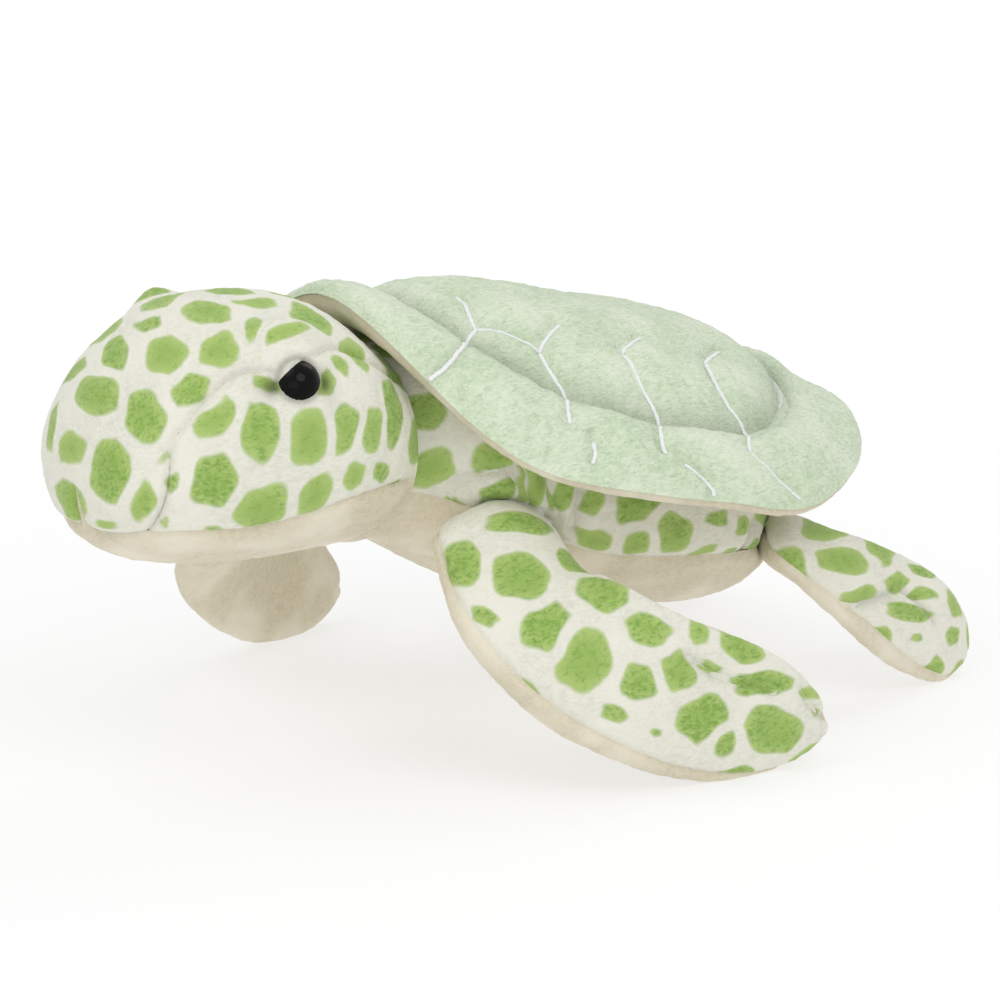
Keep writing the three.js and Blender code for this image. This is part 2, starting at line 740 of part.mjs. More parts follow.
const pocket_cutters = Object.values(eye_frames).flatMap((frame) => [
  placed(pocket_cutter, frame), placed(shank_cutter, frame),
]);

const headPiece = (geometry, cutters) => cut(geometry, neck_ball, ...cutters);

add('head_stuffing', headPiece(core(headForm, head_place_shares, round_facets), pocket_cutters), stuffing);
const crownStart = (place) => (place > cheek_start_share ? cheekSeam(place) : -jawSeam(place));
const crownEnd = (place) => Math.PI - crownStart(place);
const crown = panel(headForm, head_place_shares, round_facets, crownStart, crownEnd);
add('head_crown_panel', headPiece(crown, seat_cutters), spotted_plush);
const cheekStart = (place) => -jawSeam(place);
const cheek = panel(headForm, cheek_place_shares, round_facets / 2, cheekStart, cheekSeam);
add('cheek_panel_left', headPiece(cheek, seat_cutters), spotted_plush);
add('cheek_panel_right', headPiece(mirrored(cheek), seat_cutters), spotted_plush);
const chinStart = (place) => Math.PI + jawSeam(place);
const chinEnd = (place) => Math.PI * 2 - jawSeam(place);
const chin = panel(headForm, head_place_shares, round_facets, chinStart, chinEnd);
add('chin_panel', headPiece(chin, []), beige_plush);
for (const [side, frame] of Object.entries(eye_frames)) {
  add(`eye_${side}`, placed(eye_shape, frame), black_plastic);
  add(`eye_washer_${side}`, placed(washer_shape, frame), white_plastic);
}

shellPieces();

flipper('front_flipper_left', front_left);
flipper('front_flipper_right', front_right);
flipper('rear_flipper_left', rear_left);
flipper('rear_flipper_right', rear_right);

const middle = new THREE.Box3().setFromObject(turtle).getCenter(new THREE.Vector3());
turtle.position.set(-middle.x, -middle.y, 0);

export default turtle;
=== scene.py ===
# A plush sea turtle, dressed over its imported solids: sewn skins, quilting thread, eyes and a plain studio.
# Metres, +Z up. It faces -Y, and its left side is at +X.
import json
import math

import bmesh
import bpy
import numpy as np
from mathutils import Matrix, Vector
from mathutils.bvhtree import BVHTree

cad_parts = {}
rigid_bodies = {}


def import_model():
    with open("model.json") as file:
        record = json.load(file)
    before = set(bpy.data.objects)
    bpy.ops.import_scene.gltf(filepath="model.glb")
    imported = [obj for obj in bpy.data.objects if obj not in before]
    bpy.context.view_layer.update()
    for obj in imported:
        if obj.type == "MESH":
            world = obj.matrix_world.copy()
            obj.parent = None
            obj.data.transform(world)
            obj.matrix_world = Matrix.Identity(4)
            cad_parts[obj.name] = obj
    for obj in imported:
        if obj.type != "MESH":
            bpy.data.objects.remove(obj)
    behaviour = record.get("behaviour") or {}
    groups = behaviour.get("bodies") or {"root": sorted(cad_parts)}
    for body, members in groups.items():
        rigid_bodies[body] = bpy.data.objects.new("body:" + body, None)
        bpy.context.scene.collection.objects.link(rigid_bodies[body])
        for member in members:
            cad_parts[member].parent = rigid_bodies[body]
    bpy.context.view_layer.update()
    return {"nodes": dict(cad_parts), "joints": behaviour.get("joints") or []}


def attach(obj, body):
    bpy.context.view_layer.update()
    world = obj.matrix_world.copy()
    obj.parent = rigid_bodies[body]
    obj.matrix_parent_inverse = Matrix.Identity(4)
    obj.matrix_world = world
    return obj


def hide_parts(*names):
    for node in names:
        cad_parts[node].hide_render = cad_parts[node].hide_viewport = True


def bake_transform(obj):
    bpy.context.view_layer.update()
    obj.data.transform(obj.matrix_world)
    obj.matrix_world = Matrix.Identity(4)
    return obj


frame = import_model()

bl_info = {
    "name": "Plush turtle",
    "version": (1, 0, 0),
    "blender": (4, 5, 0),
    "location": "3D View > Sidebar > Plush turtle",
    "description": "Dresses the turtle's solids in sewn plush and sets it in a plain studio",
    "category": "Object",
}

MM = 0.001
RIGHT_ANGLE = math.pi / 2

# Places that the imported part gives
JOINTS = {joint["name"]: joint for joint in frame["joints"]}
NECK = np.array(JOINTS["head_nod"]["pos_m"])
MIDDLE_X, NECK_Y, NECK_HEIGHT = NECK

# Cloth and clearances, as in the part
PLUSH_THICKNESS = 2.4 * MM
SHELL_SEAT_GAP = 0.9 * MM
NECK_RADIUS = 25 * MM
NECK_GAP = 0.9 * MM
STANDING_FLAT_DEPTH = 0.5 * MM

# Head, as in the part
HEAD_WIDTH = 77 * MM
HEAD_LENGTH = 83.5 * MM
HEAD_RISE = 34 * MM
HEAD_DROP = 32 * MM
HEAD_MIDDLE_ABOVE_NECK = 9 * MM
HEAD_MIDDLE_Y = NECK_Y + 1.25 * MM - HEAD_LENGTH / 2
EYE_RADIUS = 5.5 * MM
EYE_DOME_HEIGHT = 4.6 * MM
EYE_SEAT_DEPTH = 1 * MM
EYE_SHANK_RADIUS = 1.5 * MM
EYE_SHANK_LENGTH = 7 * MM
EYE_BACK_FROM_NOSE = 42.25 * MM
EYE_ABOVE_MIDDLE = math.radians(29.5)
EYE_TURN_FORWARD = math.radians(24)
EYE_TURN_UP = math.radians(30)

# Body and shell, as in the part
BODY_HALF_WIDTH = 49 * MM
BODY_LENGTH = 142 * MM
BODY_FALL = 38 * MM
BODY_RISE = 36 * MM
BODY_DROP = 29 * MM
SHELL_HALF_WIDTH = 71 * MM
SHELL_HALF_LENGTH = 81 * MM
SHELL_MIDDLE_Y = NECK_Y - 7 * MM + SHELL_HALF_LENGTH
SHELL_ABOVE_BACK = 2 * MM
SHELL_FALL = 0.25
SIDE_DROOP = 30 * MM
SHOULDER_DROOP = 23 * MM
DOME_HEIGHT = 19 * MM
RIM_WIDTH = 17 * MM
VALLEY_HEIGHT = 8.5 * MM
TAIL_RIM_SHARE = 0.095
LIP_HEIGHT = 5.5 * MM
FRONT_CORNER_SHARE = 0.07
DOME_SHARE = 1 - RIM_WIDTH / SHELL_HALF_WIDTH
LIP_START_SHARE = 0.93
COVER_OVERHANG = 0.6 * MM

# Shares of the body and the head, as in the part
BODY_SHARES = [
    [0, NECK_RADIUS / BODY_HALF_WIDTH, NECK_RADIUS / BODY_RISE, NECK_RADIUS / BODY_DROP, 0],
    [0.04, 0.53, 0.7, 0.88, 0],
    [0.1, 0.77, 0.8, 0.95, 0.06],
    [0.2, 0.93, 0.92, 1, 0.24],
    [0.35, 1, 1, 0.97, 0.5],
    [0.55, 0.99, 1, 0.84, 0.75],
    [0.72, 0.85, 0.95, 0.76, 0.9],
    [0.86, 0.58, 0.72, 0.6, 0.96],
    [0.95, 0.32, 0.38, 0.36, 0.98],
    [1, 0.1, 0.1, 0.1, 1],
]
HEAD_SHARES = [
    [0, 0.05, 0.05, 0.05, -0.2],
    [0.03, 0.4, 0.34, 0.38, -0.17],
    [0.1, 0.64, 0.58, 0.64, -0.12],
    [0.22, 0.82, 0.8, 0.84, -0.05],
    [0.38, 0.95, 0.96, 0.96, 0],
    [0.55, 1, 1, 1, 0],
    [0.72, 0.97, 0.96, 0.97, -0.03],
    [0.88, 0.84, 0.84, 0.9, -0.1],
    [1, 0.7, 0.7, 0.8, -0.18],
]
# The seams, as the place along the form and the angle as a share of a right angle
BELLY_SEAM_SHARES = [
    [0, 0.22], [0.05, 0.27], [0.26, 0.27], [0.42, 0.19], [0.51, 0.14], [0.64, 0.08], [0.72, 0.06], [1, 0.06],
]
JAW_SEAM_SHARES = [
    [0, 0.94], [0.03, 0.94], [0.042, 0.78], [0.065, 0.58], [0.1, 0.46], [0.22, 0.41], [0.37, 0.4],
    [0.54, 0.34], [0.7, 0.27], [1, 0.2],
]
CHEEK_START = 0.1
CHEEK_SEAM_SHARES = [
    [CHEEK_START, -0.46], [0.125, 0.16], [0.18, 0.31], [0.26, 0.4], [0.35, 0.44], [0.47, 0.39],
    [0.55, 0.41], [0.7, 0.48], [1, 0.45],
]

# Flippers, as in the part: one table for the front pair and one for the rear pair
FRONT_CHORD_SHARES = [
    [0, 0, 1, -0.15, 17 / 19.5, 1],
    [0.3, 0.1, 0.85, 0.45, 1, 1],
    [0.6, 0.15, 0.45, 0.88, 1, 0.85],
    [0.74, 0.13, 0.36, 0.92, 0.95, 0.72],
    [0.87, 0.12, 0.3, 0.95, 0.74, 0.6],
    [0.96, 0.1, 0.3, 0.95, 0.42, 0.4],
    [1, 0.1, 0.3, 0.95, 0.14, 0.14],
]
FRONT_SPINE_SHARES = [[0, 0, 0, 0], [0.3, 0.5, -0.02, 0.33], [0.6, 0.85, 0.34, 0.69], [1, 1, 1, 1]]
REAR_CHORD_SHARES = [
    [0, -0.8, 0.5, 0.3, 12 / 16, 1],
    [0.3, -0.6, 0.6, 0.5, 1, 1],
    [0.6, -0.4, 0.62, 0.7, 1.02, 0.9],
    [0.85, -0.35, 0.62, 0.7, 0.84, 0.65],
    [0.96, -0.35, 0.62, 0.7, 0.5, 0.4],
    [1, -0.35, 0.62, 0.7, 0.18, 0.16],
]
REAR_SPINE_SHARES = [[0, 0, 0, 0], [0.3, 0.75, 0.24, 0.3], [0.6, 1.05, 0.56, 0.64], [1, 1, 1, 1]]
LEAD_SEAM_SHARES = [[-1, 0], [0, 0.06], [0.3, 0.38], [0.8, 0.32], [1, 0]]

# The photograph's camera, fitted to the part
VIEW_AZIMUTH = math.radians(50)
VIEW_ELEVATION = math.radians(13)
VIEW_DISTANCE = 950 * MM
VIEW_TARGET = np.array([MIDDLE_X, NECK_Y + 50 * MM, 62 * MM])
TARGET_PIXEL = (500, 480)
PICTURE_SIDE = 1000
PIXEL_SIZE = 0.26 * MM
SENSOR_WIDTH = 36.0
FLOOR_GLOW = 0.6

# Spots on the near side, as pixels of the photograph: centre, half width, half height, tilt in degrees
HEAD_SPOT_PIXELS = [
    (160, 299, 22, 10, -22), (149, 322, 13, 9, -20), (206, 311, 24, 11, 8), (254, 301, 23, 6, 6),
    (229, 290, 24, 4, 4), (253, 327, 8, 15, 10), (285, 332, 25, 7, -22), (310, 319, 24, 11, 38),
    (116, 350, 12, 16, 12), (166, 352, 19, 20, 25), (219, 350, 19, 18, -20), (355, 353, 9, 19, -32),
    (343, 367, 12, 9, 25), (74, 371, 4, 16, 40), (96, 393, 22, 20, 8), (144, 416, 19, 27, 0),
    (192, 393, 20, 18, -20), (213, 416, 23, 20, -40), (262, 431, 18, 30, 0), (309, 439, 18, 28, 0),
    (345, 428, 12, 25, 8), (374, 429, 10, 23, 0), (394, 411, 9, 34, -4), (51, 428, 4, 24, 8),
    (71, 447, 14, 16, 20), (110, 471, 20, 30, 0), (70, 500, 11, 23, -28), (144, 503, 14, 21, 0),
    (164, 461, 5, 9, 20), (171, 482, 8, 10, 15), (215, 481, 22, 27, 12), (264, 509, 28, 19, -28),
    (315, 496, 13, 25, 35), (356, 476, 10, 15, 25), (382, 473, 8, 11, 30), (161, 523, 8, 6, 0),
    (106, 524, 12, 4, 10), (214, 530, 9, 4, 0), (267, 386, 15, 8, 30), (328, 383, 9, 14, 20),
]
BODY_SPOT_PIXELS = [
    (427, 412, 18, 19, 0), (431, 470, 23, 18, -25), (491, 461, 22, 16, -10), (538, 487, 15, 28, 0),
    (566, 497, 12, 18, 20), (594, 502, 10, 13, 20), (636, 505, 22, 17, -30), (595, 541, 18, 12, 0),
    (635, 544, 14, 13, -20), (674, 533, 18, 19, 10), (718, 518, 11, 7, 0), (743, 526, 8, 9, 0),
    (704, 552, 14, 5, -20), (731, 551, 7, 4, -20), (452, 513, 14, 12, -38), (500, 494, 21, 13, -20),
]
FRONT_SPOT_PIXELS = [
    (462, 565, 18, 20, 0), (521, 576, 29, 21, 8), (547, 626, 21, 26, 35), (604, 592, 27, 16, 14),
    (584, 660, 25, 30, 22), (648, 630, 23, 15, 16), (661, 602, 15, 9, 42), (639, 682, 18, 18, 0),
    (681, 672, 17, 21, -18), (698, 632, 10, 14, -24), (742, 644, 25, 14, 42), (716, 668, 13, 5, 30),
    (766, 685, 29, 14, 0), (703, 716, 23, 25, 30), (774, 731, 28, 22, 12), (723, 742, 12, 13, 20),
    (615, 714, 13, 9, 22), (486, 617, 15, 9, 30), (811, 697, 8, 10, -30), (816, 711, 9, 5, 45),
    (831, 715, 4, 8, 0), (516, 531, 30, 8, 10), (582, 558, 26, 5, 22), (657, 733, 5, 4, 0),
]
REAR_SPOT_PIXELS = [
    (823, 528, 28, 14, 12), (845, 559, 27, 12, 10), (880, 546, 17, 8, 35), (898, 581, 13, 12, -20),
    (866, 593, 21, 7, -8), (921, 571, 17, 5, 22), (924, 597, 15, 8, 18), (913, 611, 25, 11, 8),
    (953, 605, 6, 14, -22), (953, 637, 6, 9, 0), (917, 640, 6, 4, 0), (772, 521, 10, 7, 0),
    (762, 539, 9, 8, 0),
]

# Quilting lines of the shell's near half, as pixels of the photograph
QUILT_PIXELS = [
    [(455, 287), (465, 295), (469, 306), (476, 322)],
    [(476, 322), (467, 338), (455, 354), (440, 367), (430, 377), (429, 386)],
    [(476, 322), (504, 325), (521, 332), (539, 339)],
    [(539, 339), (549, 327), (559, 316)],
    [(539, 339), (547, 352), (560, 379), (567, 396), (570, 414)],
    [(593, 429), (596, 441), (592, 452)],
    [(622, 342), (631, 335), (641, 330)],
    [(622, 342), (630, 350), (646, 381), (656, 402), (661, 424), (666, 444)],
    [(684, 452), (699, 462), (711, 474), (714, 482), (713, 490)],
    [(705, 355), (712, 349), (719, 344)],
    [(705, 355), (717, 374), (730, 396), (740, 412), (747, 427), (750, 438)],
    [(750, 438), (770, 455), (788, 473), (800, 488)],
]
# Sewn creases of the flippers' fingers
FRONT_CREASE_PIXELS = [
    [(691, 657), (704, 668), (718, 675), (732, 681), (748, 683), (764, 687), (778, 690)],
    [(806, 690), (812, 702), (820, 711), (829, 719)],
]
REAR_CREASE_PIXELS = [
    [(849, 606), (868, 600), (886, 594), (899, 587)],
    [(905, 588), (916, 595), (928, 606), (938, 619)],
]
# The shoulder's fold over the front flipper, and the crease under it
SHOULDER_PIXELS = [(446, 530), (456, 522), (470, 518), (500, 517), (530, 526)]
REAR_ROOT_PIXELS = [(788, 528), (784, 540), (786, 554)]
SHOULDER_CREASE_PIXELS = [(436, 494), (455, 482), (480, 474), (505, 470), (520, 476)]
# Soft folds of the flank behind the shoulder
FLANK_FOLD_PIXELS = [
    [(548, 478), (552, 500), (560, 528)],
    [(520, 470), (524, 500), (534, 532)],
    [(583, 488), (580, 510), (573, 530)],
    [(757, 520), (750, 545), (735, 570)],
]

# The one spot of the far front flipper that shows
FAR_SPOT_PIXELS = [(183, 579, 7, 16, 0)]

# An inner face keeps one point in so many of the outer one
COARSE = 4
# How many pixels lie between two points of a line of the photograph
PIXEL_STEP = 4
FOLD_PIXEL_STEP = 3

# The cloth round an eye, in mm. A bump lies forward and up of the eye's middle, with a lean, and spreads
# so far along and across.
BROW = (0.5, 11.55, 0.1, 9.5, 4.6)
FRONT_SOCKET = (9, -0.2, 0.2, 6, 3)
BACK_SOCKET = (-7.5, -0.5, 0, 3.5, 4)
BACK_SOCKET_SHARE = 0.6
LID_RISE = (-0.5, 7.6, 0, 8, 3.9)
FRONT_DIP = (7.5, -0.8, 0, 3.2, 2.4)
BACK_DIP = (-6.8, -0.5, 0, 2.2, 2.6)
# Where painted shade lies in the eyes' front and back corners, as bumps beside each eye
FRONT_SHADE = (6.4, -1, 0, 2.6, 2.3)
BACK_SHADE = (-6.2, -0.6, 0, 1.7, 3)
EYE_RIM_HEIGHT, LID_RISE_HEIGHT, FRONT_DIP_DEPTH, BACK_DIP_DEPTH = 2, 2.4, 3.4, 2.2
EYE_CLOTH_RADIUS, EYE_CLOTH_FADE, EYE_CLOTH_DEPTH = 12, 5.5, 9
OPEN_RADIUS = 5.1
LID_SLOPE, LID_ABOVE_MIDDLE = 0.75, 3.8
LID_OVER_DOME, LID_SOFTNESS, LID_FOLD_WIDTH = 0.9, 0.35, 1.3
DOME_LIFT, DOME_SPARE = 0.3, 0.1
EYE_CALM_RADIUS = 6.5 * MM
EYE_CALM_FADE = 3 * MM
NECK_CALM_WIDTH = 3.5 * MM

# The crown's dent under the shell's front edge, in mm from the neck
DENT_DEPTH, DENT_BEHIND, DENT_LENGTH, DENT_HALF_WIDTH, DENT_ABOVE = 1.5, -4, 6, 20, 15

# The shell's cover
VALLEY_FLOOR = VALLEY_HEIGHT - 3.6 * MM
# Height of the rim in mm, from the valley out to the lip
RIM_PROFILE = [
    [0, VALLEY_FLOOR / MM], [0.06, 8.8], [0.18, 11.6], [0.38, 13.2], [0.62, 13], [0.8, 11.4],
    [0.92, 9.1], [1, LIP_HEIGHT / MM + 0.05],
]
SHOULDER_HANG, SHOULDER_TURN, SHOULDER_SPREAD = 4.6 * MM, 40, 17
NOSE_LIFT, NOSE_SPREAD = 1.9 * MM, 16
NOSE_RIM_SINK = 2.4 * MM
TAIL_RIM_SINK = 5.2 * MM
EDGE_WAVE = 1.6 * MM
EDGE_WAVE_LENGTH = 30 * MM
# A point this far behind what the camera meets is hidden, and a line of quilting that jumps this far ends
HIDDEN_GAP = 14 * MM
FAR_HIT = 12 * MM

# Soft lumps and tufts: height, size and seed. A flipper's lumps have seeds of their own.
HEAD_LUMPS = (0.35 * MM, 21 * MM, 3)
BODY_LUMPS = (0.5 * MM, 24 * MM, 21)
COVER_LUMPS = (0.7 * MM, 20 * MM, 31)
COVER_TUFTS = (0.12 * MM, 2 * MM, 33)
UNDERSIDE_TUFTS = (0.18 * MM, 2 * MM, 41)
UNDERSIDE_LUMPS = (0.25 * MM, 14 * MM, 42)
FLIPPER_LUMPS = (0.45 * MM, 17 * MM)
HIGHEST_UNDERSIDE = 0.3 * MM

# Quilting: a stitch's waist and ends against its middle, and the thread's shape on the cloth
STITCH_WAIST, STITCH_END, STITCH_SWELL = 0.72, 0.3, 0.6
THREAD_WIDE, THREAD_HIGH, THREAD_LIFT = 1.15, 0.75, 0.35
THREAD_STEP, THREAD_SMOOTHING = 0.5 * MM, 3

# Folds and creases of the flanks and the flippers: depth and width
FLANK_FOLD = (1.9 * MM, 2.2 * MM)
SHOULDER_CREASE = (1.4 * MM, 1.8 * MM)
FINGER_CREASE = (1.3 * MM, 1.7 * MM)
FINGER_HOLLOW = (0.9 * MM, 4 * MM)
QUILT_HOLLOW = (1.2 * MM, 6 * MM)
QUILT_WIDTH = 1.5 * MM
# The flanks are drawn in just behind the neck
NECK_EDGE = 1.5 * MM
NECK_TUCK = (0.8 * MM, 3.5 * MM)
# The body's cloth gives way to the flippers from this share of its length on, with this room, over
# this share of their upward swing, and no deeper than this
CARVE_START, CARVE_ROOM, CARVE_SWING, DEEPEST_CARVE = 0.02, 0.2 * MM, 0.6, 16 * MM


# Small helpers on arrays of points

def through(rows, place):
    """Eased values at a place, from rows of place and values."""
    rows = np.asarray(rows, float)
    place = np.asarray(place, float)
    last = len(rows) - 1
    k = np.searchsorted(rows[1:last, 0], place, side="left")
    start, end = rows[k], rows[k + 1]
    before, after = rows[np.maximum(k - 1, 0)], rows[np.minimum(k + 2, last)]
    span = (end[..., :1] - start[..., :1])
    t = np.clip((place[..., None] - start[..., :1]) / span, 0, 1)
    slope_start = (end - before) / (end[..., :1] - before[..., :1]) * span
    slope_end = (after - start) / (after[..., :1] - start[..., :1]) * span
    value = (
        start + (end - start) * t * t * (3 - 2 * t)
        + slope_start * t * (1 - t) * (1 - t) + slope_end * t * t * (t - 1)
    )
    return value[..., 1:]


def unit(v):
    return v / np.maximum(np.linalg.norm(v, axis=-1, keepdims=True), 1e-12)


def dot(a, b):
    return (a * b).sum(-1, keepdims=True)


def bell(value, width):
    """A bump of height 1 that falls off over a width."""
    return np.exp(-(value / width) ** 2)


def eased(share):
    """Smooth from 0 to 1, and level outside."""
    share = np.clip(share, 0, 1)
    return share * share * (3 - 2 * share)


def lumps(points, wavelength, seed):
    """Smooth noise from -1 to 1 over points, with lumps of the given size."""
    q = points / wavelength + seed * 31.7
    cell = np.floor(q).astype(np.int64)
    x, y, z = np.moveaxis(eased(q - cell), -1, 0)
    total = 0
    for corner in np.ndindex(2, 2, 2):
        at = cell + np.array(corner)
        n = at[..., 0] * 73856093 ^ at[..., 1] * 19349663 ^ at[..., 2] * 83492791 ^ seed * 2654435
        n = (n ^ (n >> 13)) * 1274126177
        value = ((n ^ (n >> 16)) & 0xFFFF) / 32767.5 - 1
        weight = (x if corner[0] else 1 - x) * (y if corner[1] else 1 - y) * (z if corner[2] else 1 - z)
        total = total + weight * value
    return total


def lumpy(points, height, size, seed):
    return height * lumps(points, size, seed)


def nearest(points, targets, batch=4000):
    """Distance from each point to the nearest target."""
    flat = points.reshape(-1, 3)
    result = np.empty(len(flat))
    for i in range(0, len(flat), batch):
        gap = ((flat[i:i + batch, None, :] - targets[None, :, :]) ** 2).sum(-1)
        result[i:i + batch] = np.sqrt(gap.min(1))
    return result.reshape(points.shape[:-1])


def along(points, spacing):
    """A polyline with points at an even spacing."""
    points = np.asarray(points, float)
    steps = np.linalg.norm(np.diff(points, axis=0), axis=1)
    run = np.concatenate([[0], np.cumsum(steps)])
    count = max(int(run[-1] / spacing), 1)
    wanted = np.linspace(0, run[-1], count + 1)
    return np.stack([np.interp(wanted, run, points[:, c]) for c in range(points.shape[1])], -1)


def to_lines(points, lines, spacing=0.5 * MM):
    """Distance from each point to the nearest of some lines."""
    return nearest(points, np.concatenate([along(line, spacing) for line in lines]))


def ring_of(steps):
    """Angles all round, from -180 to 180 degrees."""
    return np.linspace(-math.pi, math.pi, steps + 1)


# Forms, as in the part. Each gives the surface at a place along it, an angle round it and a depth below it.

def on_side(point, side):
    """From the half frame, measured out from the middle plane, to the part's frame."""
    point = np.array(point, float)
    point[..., 0] = MIDDLE_X + side * point[..., 0]
    return point


def body_at(place):
    wide, rise, drop, fall = np.moveaxis(through(BODY_SHARES, np.maximum(place, 0)), -1, 0)
    return NECK_HEIGHT - BODY_FALL * fall, wide * BODY_HALF_WIDTH, rise * BODY_RISE, drop * BODY_DROP


SHELL_PLACE = (SHELL_MIDDLE_Y - NECK_Y) / BODY_LENGTH
SHELL_MIDDLE_HEIGHT = float(body_at(SHELL_PLACE)[0] + body_at(SHELL_PLACE)[2] + SHELL_ABOVE_BACK)


def saddle(x, y):
    forward = np.clip((SHELL_MIDDLE_Y - y) / SHELL_HALF_LENGTH, 0, 1)
    droop = SIDE_DROOP + SHOULDER_DROOP * forward ** 2
    return SHELL_MIDDLE_HEIGHT - SHELL_FALL * (y - SHELL_MIDDLE_Y) - droop * (x / SHELL_HALF_WIDTH) ** 2


def body_form(place, angle, depth):
    place, angle = np.broadcast_arrays(np.asarray(place, float), np.asarray(angle, float))
    turn = RIGHT_ANGLE * (1 + np.minimum(place, 0))
    neck = (NECK_RADIUS - depth) * np.sin(turn)
    y = np.where(
        place < 0,
        NECK_Y - (NECK_RADIUS - depth) * np.cos(turn),
        NECK_Y + place * (BODY_LENGTH - depth),
    )
    middle, half_width, rise, drop = body_at(place)
    inward = 1 - depth / BODY_HALF_WIDTH
    half_height = np.where(
        np.sin(angle) > 0, rise * (1 - depth / BODY_RISE), drop * (1 - depth / BODY_DROP)
    )
    x = np.where(place < 0, neck, half_width * inward) * np.cos(angle)
    z = middle + np.where(place < 0, neck, half_height) * np.sin(angle)
    return np.stack([x, y, np.minimum(z, saddle(x, y) - SHELL_SEAT_GAP - depth)], -1)


def head_form(place, angle, depth):
    place, angle = np.broadcast_arrays(np.asarray(place, float), np.asarray(angle, float))
    wide, rise, drop, lift = np.moveaxis(through(HEAD_SHARES, place), -1, 0)
    half_width = wide * (HEAD_WIDTH / 2 - depth)
    reach = np.where(np.sin(angle) > 0, rise * (HEAD_RISE - depth), drop * (HEAD_DROP - depth))
    return np.stack([
        half_width * np.cos(angle),
        HEAD_MIDDLE_Y + (place - 0.5) * (HEAD_LENGTH - depth * 2),
        NECK_HEIGHT + HEAD_MIDDLE_ABOVE_NECK + lift * HEAD_RISE + reach * np.sin(angle),
    ], -1)


def seam(rows, place):
    """The angle of a seam at a place along its form."""
    return through(rows, place)[..., 0] * RIGHT_ANGLE


def cheek_seam(place):
    return seam(CHEEK_SEAM_SHARES, place)


def jaw_seam(place):
    return seam(JAW_SEAM_SHARES, place)


def crown_seam(place):
    return np.where(place > CHEEK_START, cheek_seam(place), -jaw_seam(place))


def belly_seam(place):
    return seam(BELLY_SEAM_SHARES, np.maximum(place, 0))


class Flipper:
    """One flipper: its root, its sizes and its form in the half frame."""

    standing_shares = np.array([0, 0.18, 0.38, 0.58, 0.7, 0.79, 0.88, 0.96, 1])
    neck_share = 0.16

    def __init__(self, name, side, out, back):
        root = np.array(JOINTS[name + "_flap"]["pos_m"])
        root[0] = (root[0] - MIDDLE_X) * side
        self.name, self.side, self.root = name, side, root
        self.out, self.back = out, back
        self.pair = PAIRS[name.split("_")[0]]
        self.root_half_chord, self.half_chord, self.half_thickness = self.pair["sizes"]
        self.axis = unit(np.array(JOINTS[name + "_flap"]["axis"]))
        self.limits = [math.radians(v) for v in JOINTS[name + "_flap"]["range_deg"]]
        self.down = root[2]
        for _ in range(4):
            skin = self.form(self.standing_shares[:, None], ring_of(24), 0)
            self.down += skin[..., 2].min() + STANDING_FLAT_DEPTH

    @property
    def length(self):
        return math.sqrt(self.out ** 2 + self.back ** 2 + self.down ** 2)

    @property
    def root_share(self):
        return self.half_thickness / self.length

    def spine(self, place):
        shares = through(self.pair["spines"], place)
        return self.root + shares * np.array([self.out, self.back, -self.down])

    def form(self, place, angle, depth):
        place, angle = np.broadcast_arrays(np.asarray(place, float), np.asarray(angle, float))
        blade = np.maximum(place, 0)
        forward = unit(
            self.spine(np.minimum(blade + 0.01, 1)) - self.spine(np.maximum(blade - 0.01, 0))
        )
        shares = through(self.pair["chords"], blade)
        chord = shares[..., :3]
        chord = unit(chord - forward * dot(chord, forward))
        upward = np.cross(forward, chord)
        ball = np.sqrt(np.maximum(1 - (place / self.root_share) ** 2, 0))
        rounded = np.where(place < 0, ball, 1)
        width = np.where(
            place < 0,
            (self.root_half_chord - depth) * rounded,
            (self.half_chord - depth) * shares[..., 3],
        )
        height = (self.half_thickness - depth) * shares[..., 4] * rounded
        inside = forward * (place * self.length * (1 - depth / self.half_thickness))[..., None]
        outside = self.spine(place * (1 - depth / self.length))
        centre = np.where((place < 0)[..., None], self.root + inside, outside)
        return (
            centre - chord * (width * np.cos(angle))[..., None]
            + upward * (height * np.sin(angle))[..., None]
        )

    def skin(self, places, steps, depth=0):
        """The face in the part's frame at some places, all round."""
        return on_side(self.form(places[:, None], ring_of(steps), depth), self.side)

    def blend_points(self):
        """Where the skin stops following the body and where it follows the flipper alone."""
        way = unit(self.spine(np.array(self.neck_share)) - self.root)
        return [on_side(self.root + way * step, self.side) for step in self.pair["blend"]]

    def turned(self, points, angle):
        """Points of the part's frame as the blended skin carries them when the joint turns."""
        start, end = self.blend_points()
        share = ((points - start) @ (end - start)) / ((end - start) @ (end - start))
        swing = (eased(share) * angle)[..., None]
        pivot, axis = on_side(self.root, self.side), self.axis
        rel = points - pivot
        return (
            pivot + rel * np.cos(swing) + np.cross(axis, rel) * np.sin(swing)
            + axis * dot(rel, axis) * (1 - np.cos(swing))
        )


def lead_seam(place):
    return seam(LEAD_SEAM_SHARES, place)


# Of each pair of flippers: root half chord, half chord and half thickness, the stretch over which its skin
# passes from the body to the blade, the height and width of its swollen root, and the photograph's lines
PAIRS = {
    "front": {
        "sizes": (17 * MM, 19.5 * MM, 8 * MM), "chords": FRONT_CHORD_SHARES,
        "spines": FRONT_SPINE_SHARES, "blend": (2 * MM, 20 * MM), "swelling": (3.6 * MM, 10.5 * MM),
        "root_pixels": SHOULDER_PIXELS, "crease_pixels": FRONT_CREASE_PIXELS,
    },
    "rear": {
        "sizes": (12 * MM, 16 * MM, 6 * MM), "chords": REAR_CHORD_SHARES,
        "spines": REAR_SPINE_SHARES, "blend": (1 * MM, 14 * MM), "swelling": (2 * MM, 5 * MM),
        "root_pixels": REAR_ROOT_PIXELS, "crease_pixels": REAR_CREASE_PIXELS,
    },
}
